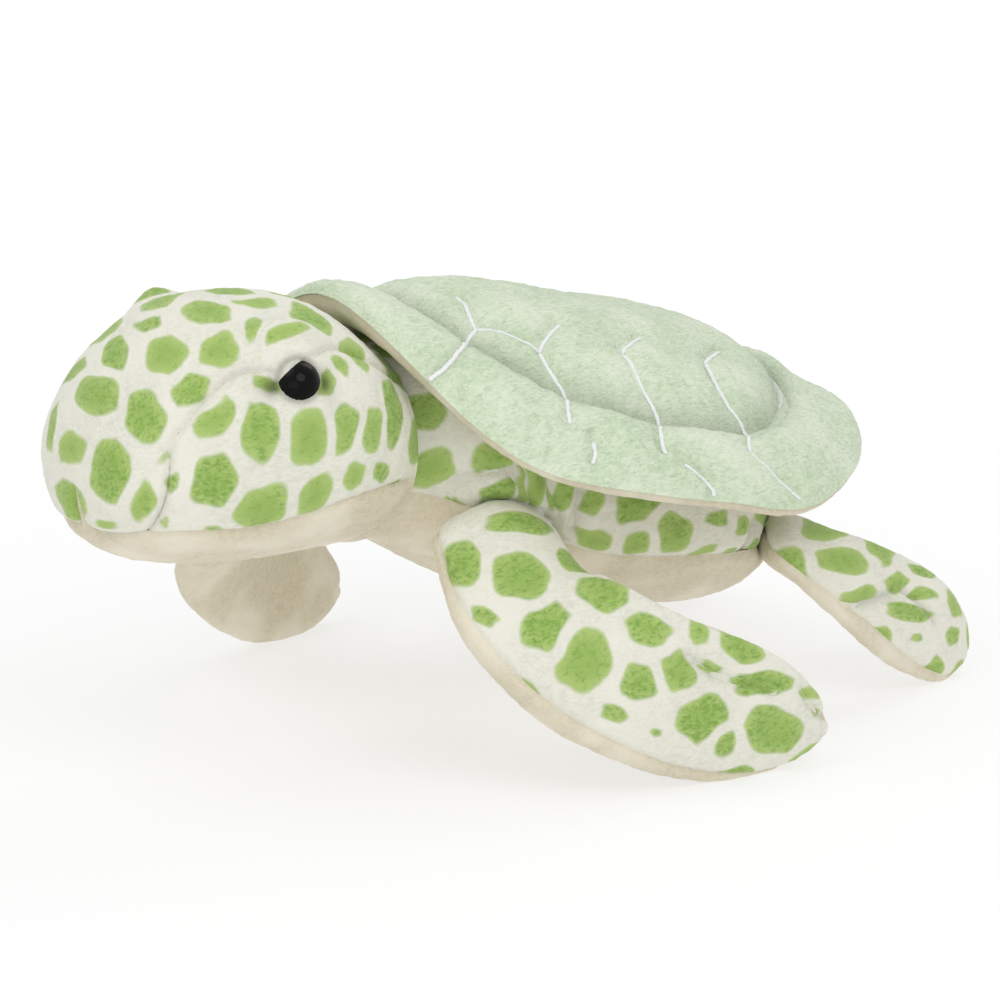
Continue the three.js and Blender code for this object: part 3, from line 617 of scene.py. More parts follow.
# Each flipper's side, reach out and reach back
FLIPPERS = {
    name: Flipper(name, side, out * MM, back * MM) for name, side, out, back in (
        ("front_flipper_left", 1, 48, 70), ("front_flipper_right", -1, 60, 58),
        ("rear_flipper_left", 1, 14, 58), ("rear_flipper_right", -1, 14, 58),
    )
}


def eye_frame(side):
    """The eye's centre and its outward, forward and upward directions."""
    outward = np.array([
        math.cos(EYE_TURN_UP) * math.cos(EYE_TURN_FORWARD),
        -math.cos(EYE_TURN_UP) * math.sin(EYE_TURN_FORWARD),
        math.sin(EYE_TURN_UP),
    ])
    centre = head_form(EYE_BACK_FROM_NOSE / HEAD_LENGTH, EYE_ABOVE_MIDDLE, 0)
    centre = centre - outward * EYE_SEAT_DEPTH
    up = unit(np.array([0, 0, 1]) - outward * outward[2])
    forward = np.cross(outward, up)
    if forward[1] > 0:
        forward = -forward
    mirror = np.array([side, 1, 1])
    return on_side(centre, side), outward * mirror, forward * mirror, up * mirror


def about_eye(points, side):
    """How far points lie forward, up and out of an eye's middle, in mm, and the way out."""
    centre, outward, forward, up = eye_frame(side)
    rel = (points - centre) / MM
    return rel @ forward, rel @ up, rel @ outward, outward


def bump_at(a, b, forward, up, lean, long, wide):
    """A soft bump of height 1 beside an eye."""
    return bell(a - forward, long) * bell(b - up - lean * (a - forward), wide)


# The photograph's camera, which also places what was measured on the photograph

def camera_directions():
    a, e = VIEW_AZIMUTH, VIEW_ELEVATION
    to_camera = np.array([math.sin(a) * math.cos(e), -math.cos(a) * math.cos(e), math.sin(e)])
    right = np.array([math.cos(a), math.sin(a), 0])
    return to_camera, right, np.cross(to_camera, right)


def pixel_ray(pixel):
    to_camera, right, up = camera_directions()
    origin = VIEW_TARGET + to_camera * VIEW_DISTANCE
    point = (
        VIEW_TARGET + right * (pixel[0] - TARGET_PIXEL[0]) * PIXEL_SIZE
        + up * (TARGET_PIXEL[1] - pixel[1]) * PIXEL_SIZE
    )
    return Vector(origin), Vector(point - origin).normalized()


def cast(tree, pixel):
    """Where the line of sight through a pixel meets a surface, and the surface's normal."""
    origin, direction = pixel_ray(pixel)
    hit, normal, _, _ = tree.ray_cast(origin, direction)
    if hit is None:
        return None, None
    if normal.dot(direction) > 0:
        normal = -normal
    return np.array(hit), np.array(normal)


def tree_of(*grids):
    """A search tree over grids of points."""
    points, faces = [], []
    for grid in grids:
        rows, columns = grid.shape[:2]
        base = len(points)
        points += [tuple(p) for p in grid.reshape(-1, 3)]
        i, j = np.meshgrid(np.arange(rows - 1), np.arange(columns - 1), indexing="ij")
        a = base + i * columns + j
        quads = np.stack([a, a + columns, a + columns + 1, a + 1], -1).reshape(-1, 4)
        faces += [tuple(q) for q in quads.tolist()]
    return BVHTree.FromPolygons(points, faces)


# The spotted print: rounded cells round seeds, given as a distance in millimetres from each spot's edge

class Spots:
    """The print of one stuffed form: the spots seen in the photograph, and scattered ones elsewhere."""

    tries, batch = 9000, 4000
    probe = 4  # pixels from a spot's middle to where the surface's slope is taken
    too_long, cut_to = 13 * MM, 9 * MM
    warp_height, warp_length = 0.8 * MM, 8 * MM
    widest_half, outside, behind = 6.6 * MM, 3 * MM, 5 * MM
    softness = 0.9 * MM
    seen_gap_share = 0.72

    def __init__(self, tree, pixels, surface, seed):
        self.gap, self.seed = sizes().spot_gap, seed
        self.seen = [spot for spot in (self.seen_spot(tree, *row) for row in pixels) if spot]
        spacing = sizes().spot_spacing
        rng = np.random.default_rng(seed)
        order = rng.permutation(len(surface))[:self.tries]
        limits = spacing * rng.uniform(0.9, 1.2, len(order))
        chosen = [centre for centre, _, _ in self.seen]
        for point, limit in zip(surface[order], limits):
            if chosen and np.linalg.norm(np.array(chosen) - point, axis=1).min() < limit:
                continue
            if any(
                np.linalg.norm(point - centre) < spacing / 2 + max(np.linalg.norm(u), np.linalg.norm(v))
                for centre, u, v in self.seen
            ):
                continue
            chosen.append(point)
        self.seeds = np.array(chosen)
        self.tones = rng.uniform(-1, 1, len(self.seeds))

    def seen_spot(self, tree, x, y, half_width, half_height, tilt):
        """A spot's middle and half axes on the surface, from its place in the photograph."""
        centre, normal = cast(tree, (x, y))
        if centre is None:
            return None
        c, s = math.cos(math.radians(tilt)), math.sin(math.radians(tilt))
        axes = []
        for dx, dy, size in ((c, s, half_width), (-s, c, half_height)):
            origin, way = pixel_ray((x + dx * self.probe, y + dy * self.probe))
            rate = (centre - np.array(origin)) @ normal / (np.array(way) @ normal)
            step = np.array(origin) + np.array(way) * rate - centre
            axes.append(step * size / self.probe)
        if max(np.linalg.norm(v) for v in axes) > self.too_long:
            axes = [v * min(1, self.cut_to / np.linalg.norm(v)) for v in axes]
        return centre, *axes

    def edge_distance(self, points):
        """Millimetres inside (positive) or outside the nearest spot's edge, and that spot's tone."""
        flat = points.reshape(-1, 3)
        warp = np.stack([lumps(flat, self.warp_length, self.seed + k) for k in range(3)], -1)
        flat = flat + warp * self.warp_height
        fields, tones = [], []
        for i in range(0, len(flat), self.batch):
            part = flat[i:i + self.batch]
            best, tone = self.scattered(part)
            second = np.full(len(part), -1.0)
            for k, spot in enumerate(self.seen):
                inside = self.inside(part, spot, k)
                better = inside > best
                second = np.maximum(second, np.minimum(best, inside))
                best = np.where(better, inside, best)
                tone = np.where(better, self.tones[k], tone)
            fields.append(np.minimum(best, (best - second - self.gap * self.seen_gap_share) / 2))
            tones.append(tone)
        shape = points.shape[:-1]
        return (np.concatenate(fields) / MM).reshape(shape), np.concatenate(tones).reshape(shape)

    def scattered(self, part):
        """The field of the scattered spots: cells round the seeds, parted by pale lines."""
        rows = np.arange(len(part))
        square = ((part[:, None, :] - self.seeds[None]) ** 2).sum(-1)
        own = square.argmin(1)
        apart = np.linalg.norm(self.seeds[None] - self.seeds[own][:, None], axis=-1)
        border = (square - square[rows, own][:, None]) / np.maximum(2 * apart, 1e-6)
        border[rows, own] = 1
        border = -self.softness * np.log(np.exp(-np.minimum(border, 0.05) / self.softness).sum(1))
        room = self.widest_half - np.sqrt(square[rows, own])
        field = np.minimum(border - self.gap / 2, room)
        return np.where(own < len(self.seen), -self.outside, field), self.tones[own]

    def inside(self, part, spot, number):
        """How far points lie inside a spot of the photograph, a rounded and slightly uneven shape."""
        centre, u, v = spot
        rel = part - centre
        lengths = np.linalg.norm(u), np.linalg.norm(v)
        basis = np.stack([u, v], -1)
        ab = rel @ np.linalg.pinv(basis).T
        away = np.linalg.norm(rel - ab @ basis.T, axis=-1)
        turn = np.arctan2(ab[:, 1], ab[:, 0])
        corners = 1.03 + 0.05 * np.cos(5 * turn + number * 1.7) + 0.045 * np.cos(3 * turn + number * 2.9)
        norm = (np.abs(ab) ** 2.5).sum(-1) ** (1 / 2.5) / corners
        scale = min(lengths) + 0.25 * (max(lengths) - min(lengths))
        return (1 - norm) * scale - np.maximum(away - self.behind, 0)


# Skins: a dense outer face and a plain inner one, closed round their edges

def crossed(outer):
    """The unscaled normals of a grid of points."""
    return np.cross(np.gradient(outer, axis=0), np.gradient(outer, axis=1))


def outward_normals(outer, inner):
    cross = crossed(outer)
    flip = np.sign(np.nansum(dot(unit(cross), outer - inner))) or 1
    meeting = np.linalg.norm(cross, axis=-1, keepdims=True) < 1e-9
    return np.where(meeting, unit(outer - inner), unit(cross) * flip)


def skin_mesh(name, outer, inner, attributes=None):
    """A closed mesh from two grids of points. The inner one keeps every few points only."""
    few = inner[::COARSE, ::COARSE]
    dense = np.arange(outer[..., 0].size).reshape(outer.shape[:2])
    sparse = dense.size + np.arange(few[..., 0].size).reshape(few.shape[:2])
    faces = np.stack([dense[:-1, :-1], dense[1:, :-1], dense[1:, 1:], dense[:-1, 1:]], -1)
    faces = faces.reshape(-1, 4).tolist()
    back = np.stack([sparse[:-1, :-1], sparse[:-1, 1:], sparse[1:, 1:], sparse[1:, :-1]], -1)
    faces += back.reshape(-1, 4).tolist()
    for fine, plain, backward in (
        (dense[:, 0], sparse[:, 0], True), (dense[:, -1], sparse[:, -1], False),
        (dense[0], sparse[0], False), (dense[-1], sparse[-1], True),
    ):
        for k in range(len(plain) - 1):
            strip = fine[k * COARSE:(k + 1) * COARSE + 1].tolist()
            near, far = plain[k:k + 2].tolist()
            faces.append(strip[::-1] + [near, far] if backward else strip + [far, near])
    if np.nansum(dot(crossed(outer), outer - inner)) < 0:
        faces = [face[::-1] for face in faces]
    mesh = bpy.data.meshes.new(name)
    mesh.from_pydata(np.concatenate([outer.reshape(-1, 3), few.reshape(-1, 3)]).tolist(), [], faces)
    for key, values in (attributes or {}).items():
        layer = mesh.attributes.new(key, "FLOAT", "POINT")
        all_values = np.concatenate([values.reshape(-1), values[::COARSE, ::COARSE].reshape(-1)])
        layer.data.foreach_set("value", all_values.astype(np.float32))
    shaped = bmesh.new()
    shaped.from_mesh(mesh)
    bmesh.ops.remove_doubles(shaped, verts=shaped.verts, dist=2e-6)
    bmesh.ops.dissolve_degenerate(shaped, edges=shaped.edges, dist=1e-7)
    return finished_object(name, shaped, mesh)


def finished_object(name, shaped, mesh, degrees=55):
    """An object of a shaped mesh, shaded smooth."""
    shaped.to_mesh(mesh)
    shaped.free()
    mesh.update()
    obj = bpy.data.objects.new(name, mesh)
    bpy.context.scene.collection.objects.link(obj)
    smooth(obj, degrees)
    return obj


def smooth(obj, degrees):
    select_only(obj)
    bpy.ops.object.shade_smooth_by_angle(angle=math.radians(degrees))
    obj.select_set(False)


def select_none():
    for other in bpy.context.view_layer.objects:
        other.select_set(False)


def select_only(obj):
    select_none()
    obj.select_set(True)
    bpy.context.view_layer.objects.active = obj


def ring_centre(form, place, depth):
    return form(np.full(33, place), ring_of(32), depth)[:-1].mean(0)


def panel_grids(form, places, start, end, columns, side=1, cap_first=False, cap_last=False, limit=None):
    """The outer and inner points of a sewn panel between two seam angles."""
    places = np.asarray(places, float)
    first, last = start(places), end(places)
    angles = first[:, None] + (last - first)[:, None] * np.linspace(0, 1, columns + 1)
    spots = np.repeat(places[:, None], columns + 1, 1)
    grids = []
    for depth in (0, PLUSH_THICKNESS):
        held = spots if limit is None else np.minimum(spots, limit(angles, depth))
        grid = form(held, angles, depth)
        caps = [
            np.broadcast_to(ring_centre(form, places[row], depth), (1, columns + 1, 3)) for row in (0, -1)]
        grid = np.concatenate([caps[0]] * cap_first + [grid] + [caps[1]] * cap_last)
        grids.append(on_side(grid, side))
    return grids


def seam_roll(outer, lines, share=1):
    """Cloth rolls inwards to a seam, so the face dips near it."""
    way_off = to_lines(outer, lines) / (sizes().seam_width * share)
    return -sizes().seam_depth * share * np.maximum(1 - way_off, 0) ** 1.8


def valley(points, lines, depth, width):
    return -depth * bell(to_lines(points, lines, 0.4 * MM), width)


def seam_shade(points, lines, width):
    return bell(to_lines(points, lines), width)


def pile(points, height):
    """Small tufts of the nap."""
    return height * (0.65 * lumps(points, 2.6 * MM, 11) + 0.35 * lumps(points, 1.3 * MM, 12))


def fit_rows(places, caps):
    """Spreads places over a few more rows, so that the grid with its caps divides into coarse cells."""
    count = len(places)
    extra = (1 - (count + caps)) % COARSE
    return np.interp(np.linspace(0, count - 1, count + extra), np.arange(count), places)


# Faces of the forms in detail

def limit_at_neck(angles, depth):
    """The place where the head meets the ball of the neck, for each angle."""
    places = np.linspace(0.6, 1, 161)
    ring = ring_of(240)
    points = head_form(places[:, None], ring[None], depth)
    gap = np.linalg.norm(points - np.array([0, NECK_Y, NECK_HEIGHT]), axis=-1)
    inside = gap < NECK_RADIUS + NECK_GAP
    first = np.where(inside.any(0), places[inside.argmax(0)], 1)
    wrapped = (angles + math.pi) % (2 * math.pi) - math.pi
    return np.interp(wrapped, ring, first)


def face_relief(points):
    """Brows over the eyes, their drawn-in corners, lumps, and the dent under the shell's front edge."""
    relief = lumpy(points, *HEAD_LUMPS)
    x, y, z = np.moveaxis((points - NECK) / MM, -1, 0)
    dent = bell(y - DENT_BEHIND, DENT_LENGTH) * bell(x, DENT_HALF_WIDTH) * (z > DENT_ABOVE)
    relief = relief - DENT_DEPTH * MM * dent
    for side in (1, -1):
        a, b, c, _ = about_eye(points, side)
        here = bell(np.maximum(np.abs(c) - 7, 0), 5)
        sockets = bump_at(a, b, *FRONT_SOCKET) + BACK_SOCKET_SHARE * bump_at(a, b, *BACK_SOCKET)
        brow = sizes().brow_height * bump_at(a, b, *BROW)
        relief = relief + here * (brow - sizes().socket_depth * sockets)
    return relief


def over_eyes(points):
    """Lays the cloth round each eye: a lid over the top of its dome, and a soft rim all round."""
    for side in (1, -1):
        a, b, c, outward = about_eye(points, side)
        radius = np.hypot(a, b)
        here = eased((EYE_CLOTH_RADIUS - radius) / EYE_CLOTH_FADE) * (np.abs(c) < EYE_CLOTH_DEPTH)
        room = np.clip(1 - (radius / (EYE_RADIUS / MM + 0.15)) ** 2, 0, 1)
        dome = DOME_LIFT + (EYE_DOME_HEIGHT / MM + DOME_SPARE) * np.sqrt(room)
        lid = (b + LID_SLOPE * a - LID_ABOVE_MIDDLE) / math.hypot(1, LID_SLOPE)
        open_by = np.maximum(radius - OPEN_RADIUS, lid)
        rim = (
            EYE_RIM_HEIGHT + LID_RISE_HEIGHT * bump_at(a, b, *LID_RISE)
            - FRONT_DIP_DEPTH * bump_at(a, b, *FRONT_DIP) - BACK_DIP_DEPTH * bump_at(a, b, *BACK_DIP)
        )
        over = LID_SOFTNESS * np.log(
            np.exp((dome + LID_OVER_DOME) / LID_SOFTNESS) + np.exp(rim / LID_SOFTNESS))
        under = np.maximum(dome + 1.1 * open_by, 0.02)
        wanted = under + (over - under) * eased(open_by / LID_FOLD_WIDTH + 0.5)
        points = points + outward * ((wanted - c) * here * MM)[..., None]
    return points


def rim_share(ring):
    """How far out a ring of the shell lies on its rim, from 0 to 1."""
    return np.clip((ring - DOME_SHARE) / (1 - DOME_SHARE), 0, 1)


def toward(across, length):
    """How straight a point of the shell lies toward the tail from its middle, from 0 to 1."""
    return np.clip(length / np.maximum(np.hypot(across, length), 1e-9), 0, 1)


def cover_height(ring, tail):
    """Height of the shell's cover over its saddle: a quilted dome, a valley and a puffy rim."""
    s = np.clip(ring / DOME_SHARE, 0, 1)
    dome = (1 - s ** (3.2 + 1.8 * tail)) ** (0.46 - 0.08 * tail)
    dome = VALLEY_FLOOR + (DOME_HEIGHT - VALLEY_FLOOR) * dome
    return np.where(ring < DOME_SHARE, dome, through(RIM_PROFILE, rim_share(ring))[..., 0] * MM)


def shell_bend(across, length, rim_sinks=True):
    """How far the shell's edge hangs down at the shoulders, and its rim at the front and the tail."""
    rim = rim_share(np.hypot(across, length))
    turn = np.degrees(np.arctan2(np.abs(across), -length))
    down = SHOULDER_HANG * rim ** 1.2 * bell(turn - SHOULDER_TURN, SHOULDER_SPREAD)
    down = down - NOSE_LIFT * rim ** 1.5 * bell(turn, NOSE_SPREAD)
    if rim_sinks:
        nose, tail = toward(across, -length) ** 2, toward(across, length) ** 2
        down = down + (NOSE_RIM_SINK * nose + TAIL_RIM_SINK * tail) * np.sin(math.pi * rim) ** 0.8
    return np.stack([0 * down, 0 * down, -down], -1)


def edge_wave(points, across, length):
    """The soft waves of the shell's edge, which its cover and its underside share."""
    wave = lumps(points, EDGE_WAVE_LENGTH, 35) * rim_share(np.hypot(across, length)) ** 2
    return np.array([0, 0, EDGE_WAVE]) * wave[..., None]


def disc_grid(shares):
    """Square rings of shares mapped onto round ones: across and along, from -1 to 1."""
    lines = np.concatenate([-shares[:0:-1], shares])
    a, b = np.meshgrid(lines, lines)
    quarter = math.pi / 4
    with np.errstate(divide="ignore", invalid="ignore"):
        angle_a = quarter * b / a
        angle_b = RIGHT_ANGLE - quarter * a / b
    wide = np.abs(a) > np.abs(b)
    radius = np.where(wide, a, b)
    angle = np.nan_to_num(np.where(wide, angle_a, angle_b))
    return radius * np.cos(angle), radius * np.sin(angle)


def sheet(shares, depth, height):
    """A sheet over the back, at a depth in from the outline and a height over the saddle."""
    across, length = disc_grid(shares)
    square = np.maximum(across ** 2 + length ** 2, 1e-12)
    corner = (2 * across * length / square) ** 2
    full = 1 + np.where(length < 0, FRONT_CORNER_SHARE * corner, 0)
    x = across * full * (SHELL_HALF_WIDTH - depth)
    y = SHELL_MIDDLE_Y + length * full * (SHELL_HALF_LENGTH - depth)
    return on_side(np.stack([x, y, saddle(x, y) + height(np.minimum(dome_ring(across, length), 1))], -1), 1)


def dome_ring(across, length):
    """The ring whose height a point takes: the dome ends sooner toward the tail, where the rim is wider."""
    ring = np.hypot(across, length)
    return ring + TAIL_RIM_SHARE * ring * (1 - ring) * (2 * toward(across, length)) ** 2


# Materials

def set_inputs(tree, node, inputs):
    """Links or sets a node's inputs."""
    for key, value in inputs.items():
        if isinstance(value, bpy.types.NodeSocket):
            tree.links.new(value, node.inputs[key])
        else:
            node.inputs[key].default_value = value


def add_node(tree, kind, inputs=None, **settings):
    node = tree.nodes.new("ShaderNode" + kind)
    for key, value in settings.items():
        setattr(node, key, value)
    set_inputs(tree, node, inputs or {})
    return node


def mix_colour(tree, factor, first, second, blend="MIX"):
    node = add_node(tree, "Mix", data_type="RGBA", blend_type=blend)
    ends = [number for number, socket in enumerate(node.inputs) if socket.type == "RGBA"]
    set_inputs(tree, node, dict(zip([0, *ends], (factor, first, second))))
    return next(socket for socket in node.outputs if socket.type == "RGBA")


def map_range(tree, value, low, high, to_low=0.0, to_high=1.0, soft=True):
    return add_node(tree, "MapRange", {
        "Value": value, "From Min": low, "From Max": high, "To Min": to_low, "To Max": to_high,
    }, interpolation_type="SMOOTHSTEP" if soft else "LINEAR").outputs["Result"]


def maths(tree, operation, *values):
    return add_node(tree, "Math", dict(enumerate(values)), operation=operation).outputs[0]


def object_place(tree):
    return add_node(tree, "TexCoord").outputs["Object"]


def pile_group():
    """A shared node group: the shade, the height and the brushed patches of short plush pile."""
    found = bpy.data.node_groups.get("Plush pile")
    if found:
        return found
    group = bpy.data.node_groups.new("Plush pile", "ShaderNodeTree")
    for name, value in (("Clump size", 400.0), ("Fibre size", 1500.0)):
        socket = group.interface.new_socket(name, in_out="INPUT", socket_type="NodeSocketFloat")
        socket.default_value = value
    for name in ("Shade", "Height", "Patch"):
        group.interface.new_socket(name, in_out="OUTPUT", socket_type="NodeSocketFloat")
    given = group.nodes.new("NodeGroupInput").outputs
    out = group.nodes.new("NodeGroupOutput")
    place = object_place(group)
    lain = add_node(group, "Mapping", {
        "Vector": place, "Rotation": (0.35, 0.2, 0.5), "Scale": (1.0, 0.38, 1.0)})
    clump = add_node(group, "TexNoise", {
        "Vector": place, "Scale": given["Clump size"], "Detail": 3, "Roughness": 0.6})
    fibre = add_node(group, "TexNoise", {
        "Vector": lain.outputs["Vector"], "Scale": given["Fibre size"], "Detail": 2, "Distortion": 0.6})
    patch = add_node(group, "TexNoise", {"Vector": place, "Scale": 55, "Detail": 2})
    clumps = maths(group, "MULTIPLY", clump.outputs["Fac"], 0.45)
    height = maths(group, "MULTIPLY_ADD", fibre.outputs["Fac"], 0.55, clumps)
    shade = map_range(group, height, 0.3, 0.7, soft=False)
    set_inputs(group, out, {"Shade": shade, "Height": height, "Patch": patch.outputs["Fac"]})
    return group


def pile_of(tree, clump, fibre):
    """The shade, height and patches of a cloth's pile, with clumps and fibres of its own size."""
    return add_node(
        tree, "Group", {"Clump size": clump, "Fibre size": fibre}, node_tree=pile_group()).outputs


def bump(tree, shader, height, strength, distance):
    node = add_node(tree, "Bump", {"Height": height, "Strength": strength, "Distance": distance})
    set_inputs(tree, shader, {"Normal": node.outputs["Normal"]})


def cloth_finish(tree, shader, colour, roughness, sheen):
    set_inputs(tree, shader, {
        "Base Color": colour, "Roughness": roughness, "Sheen Weight": sheen, "Sheen Roughness": 0.4,
        "Specular IOR Level": 0.15,
    })


def attribute(tree, name):
    return add_node(tree, "Attribute", attribute_name=name).outputs["Fac"]


def scaled(colour, factor=1):
    return tuple(min(c * factor, 1) for c in colour) + (1,)


def with_painted_shade(tree, colour, least=0.3):
    """Darkens a cloth with painted shade where its deep attribute marks folds, creases, seams and eye
    corners.
    """
    shade = map_range(tree, attribute(tree, "deep"), 0, 1, 1, least, soft=False)
    grey = add_node(tree, "CombineColor", dict.fromkeys(range(3), shade))
    return mix_colour(tree, 1, colour, grey.outputs[0], blend="MULTIPLY")


def ragged(tree, value, nap, share):
    """A value made uneven by the height of the pile."""
    uneven = maths(tree, "MULTIPLY", maths(tree, "SUBTRACT", nap["Height"], 0.5), share)
    return maths(tree, "ADD", value, uneven)


def paint_spotted(tree, shader):
    """Cream minky with green spots, mottled darker between the tufts, and with painted shade in its folds,
    seams and eye corners.
    """
    nap = pile_of(tree, 480, 1300)
    edge = ragged(tree, attribute(tree, "spot"), nap, 1.3)
    dark = scaled(colours().spot_dark)
    green = mix_colour(
        tree, map_range(tree, edge, 0.1, 2.2), scaled(colours().spot_edge), scaled(colours().spot_green))
    mottled = mix_colour(tree, map_range(tree, nap["Shade"], 0.25, 0.95, 0.0, 0.5), dark, green)
    shade = maths(tree, "ADD", map_range(tree, attribute(tree, "tone"), -1, 1, 0.0, 0.3), nap["Shade"])
    green = mix_colour(tree, map_range(tree, shade, 0.15, 0.75), dark, green)
    green = mix_colour(tree, 0.3, green, mottled)
    cream = napped(tree, nap, colours().cream, 0.86, colours().cream_warm, (0, 0.8), (0.35, 0.7))
    printed = mix_colour(tree, map_range(tree, edge, -0.55, 0.45), cream, green)
    # Painted shade darkens the print in folds, creases, seams and eye corners
    cloth_finish(tree, shader, with_painted_shade(tree, printed), 0.9, 0.25)
    bump(tree, shader, nap["Height"], 0.85, 0.6 * MM)


def napped(tree, nap, colour, deep_share, brushed, shades, patches):
    """A plain cloth's colour: darker between the tufts, and brushed in patches."""
    colour = mix_colour(
        tree, map_range(tree, nap["Shade"], *shades), scaled(colour, deep_share), scaled(colour))
    return mix_colour(tree, map_range(tree, nap["Patch"], *patches), colour, scaled(brushed))


def paint_beige(tree, shader):
    nap = pile_of(tree, 520, 1900)
    colour = napped(tree, nap, colours().beige, 0.84, colours().beige_light, (0, 0.9), (0.4, 0.7))
    cloth_finish(tree, shader, colour, 0.92, 0.2)
    bump(tree, shader, nap["Height"], 0.6, 0.5 * MM)


def paint_shell(tree, shader):
    nap = pile_of(tree, 430, 1300)
    colour = mix_colour(
        tree, map_range(tree, nap["Shade"], 0.0, 0.8),
        scaled(colours().shell_deep), scaled(colours().shell_green))
    # Brushed patches of pile, turned paler by painted sheen
    brushed = map_range(tree, ragged(tree, nap["Patch"], nap, 0.6), 0.3, 0.75)
    colour = mix_colour(tree, brushed, colour, scaled(colours().shell_brushed_sheen))
    # Painted shade darkens the plush on the valley's floor and along the quilting
    cloth_finish(tree, shader, with_painted_shade(tree, colour, 0.72), 0.92, 0.35)
    bump(tree, shader, nap["Height"], 1, 1.1 * MM)


def paint_thread(tree, shader):
    twist = add_node(tree, "TexNoise", {"Vector": object_place(tree), "Scale": 1800}).outputs["Fac"]
    colour = mix_colour(tree, twist, scaled(colours().thread, 0.88), scaled(colours().thread))
    set_inputs(tree, shader, {"Base Color": colour, "Roughness": 0.5, "Sheen Weight": 0.2})
    bump(tree, shader, twist, 0.4, 0.2 * MM)


def paint_eye(tree, shader):
    dust = add_node(tree, "TexNoise", {"Vector": object_place(tree), "Scale": 900}).outputs["Fac"]
    black = colours().eye_black
    set_inputs(tree, shader, {
        "Base Color": mix_colour(tree, dust, scaled(black), scaled(black, 1.5)),
        "Roughness": map_range(tree, dust, 0.45, 0.8, 0.06, 0.12), "Specular IOR Level": 0.1,
    })


def paint_inside(tree, shader, kind, output, size, strength, roughness):
    """Fibre, pellets or plain moulded plastic inside the toy."""
    inputs = {"Vector": object_place(tree), "Scale": size}
    if kind == "TexNoise":
        inputs["Detail"] = 6
    value = add_node(tree, kind, inputs).outputs[output]
    colour = mix_colour(tree, value, scaled(colours().fibre, 0.8), scaled(colours().fibre))
    set_inputs(tree, shader, {"Base Color": colour, "Roughness": roughness})
    bump(tree, shader, value, strength, 0.6 * MM)


PAINTS = {
    "Spotted minky": [paint_spotted],
    "Beige minky": [paint_beige],
    "Green shell plush": [paint_shell],
    "White thread": [paint_thread],
    "Glossy black plastic": [paint_eye],
    "Stuffing fibre": [paint_inside, "TexNoise", "Fac", 700, 0.8, 0.95],
    "Pellets": [paint_inside, "TexVoronoi", "Distance", 260, 1.0, 0.5],
    "Moulded washer": [paint_inside, "TexNoise", "Fac", 1200, 0.1, 0.4],
}


# The material of each slot's padded skins
CLOTHS = {
    "spotted_plush": "Spotted minky", "beige_plush": "Beige minky", "shell_plush": "Green shell plush",
    "stuffing": "Stuffing fibre",
}


def new_material(name):
    material = bpy.data.materials.new(name)
    material.use_nodes = True
    return material, material.node_tree, material.node_tree.nodes["Principled BSDF"]


def finish(name):
    """The material of a name, painted on its first use."""
    material = bpy.data.materials.get(name)
    if material is None:
        material, tree, shader = new_material(name)
        paint, *values = PAINTS[name]
        paint(tree, shader, *values)
    return material


# What a user would change

def length_property(name, description, value):
    return bpy.props.FloatProperty(
        name=name, description=description, default=value, min=0, unit="LENGTH")


def colour_property(name, description, value):
    return bpy.props.FloatVectorProperty(
        name=name, description=description, default=value, min=0, max=1, size=3, subtype="COLOR")


class TurtleSizes(bpy.types.PropertyGroup):
    """Sizes of the sewn details."""

    brow_height: length_property("Brow height", "How far the brow over each eye stands out", 6 * MM)
    socket_depth: length_property("Socket depth", "How deep each eye is drawn in", 2.2 * MM)
    seam_depth: length_property("Seam depth", "How far the cloth rolls in at a seam", 1.4 * MM)
    seam_width: length_property("Seam width", "How wide the roll beside a seam is", 2.8 * MM)
    quilt_depth: length_property("Quilting depth", "How deep the thread draws the shell in", 1.5 * MM)
    thread_radius: length_property("Thread radius", "Radius of the quilting thread", 0.55 * MM)
    stitch_length: length_property("Stitch length", "Length of one stitch of the quilting", 2.4 * MM)
    pile_height: length_property("Pile height", "Height of the tufts of the short plush", 0.28 * MM)
    shell_pile_height: length_property(
        "Shell pile height", "Height of the tufts of the shell's plush", 0.55 * MM)
    spot_spacing: length_property("Spot spacing", "Distance between the middles of the spots", 12.2 * MM)
    spot_gap: length_property("Spot gap", "Width of the pale lines between the spots", 4.0 * MM)


class TurtleColours(bpy.types.PropertyGroup):
    """Colours of the cloths, the thread and the eyes."""

    cream: colour_property("Cream", "Ground of the spotted plush", (0.79, 0.785, 0.685))
    cream_warm: colour_property("Warm cream", "Brushed patches of the ground", (0.81, 0.80, 0.70))
    spot_green: colour_property("Spot green", "Middle of the spots", (0.36, 0.51, 0.14))
    spot_edge: colour_property("Spot edge", "Yellowish edge of the spots", (0.48, 0.61, 0.215))
    spot_dark: colour_property("Dark spot green", "Depth of the pile in the spots", (0.215, 0.37, 0.075))
    beige: colour_property("Beige", "Undersides of the toy", (0.72, 0.655, 0.50))
    beige_light: colour_property("Light beige", "Brushed patches of the undersides", (0.79, 0.735, 0.60))
    shell_green: colour_property("Shell green", "The shell's plush", (0.64, 0.745, 0.55))
    # Pale shell green: the brushed pile's patches, lightened by painted sheen
    shell_brushed_sheen: colour_property("Pale shell green", "Brushed patches of the shell", (0.74, 0.81, 0.645))
    shell_deep: colour_property("Deep shell green", "Depth of the shell's pile", (0.51, 0.63, 0.43))
    thread: colour_property("Thread", "The quilting thread", (0.86, 0.88, 0.88))
    eye_black: colour_property("Eye black", "The eyes", (0.002, 0.002, 0.002))
    fibre: colour_property("Fibre", "The stuffing", (0.85, 0.85, 0.83))


def sizes():
    return bpy.context.scene.turtle_sizes


def colours():
    return bpy.context.scene.turtle_colours


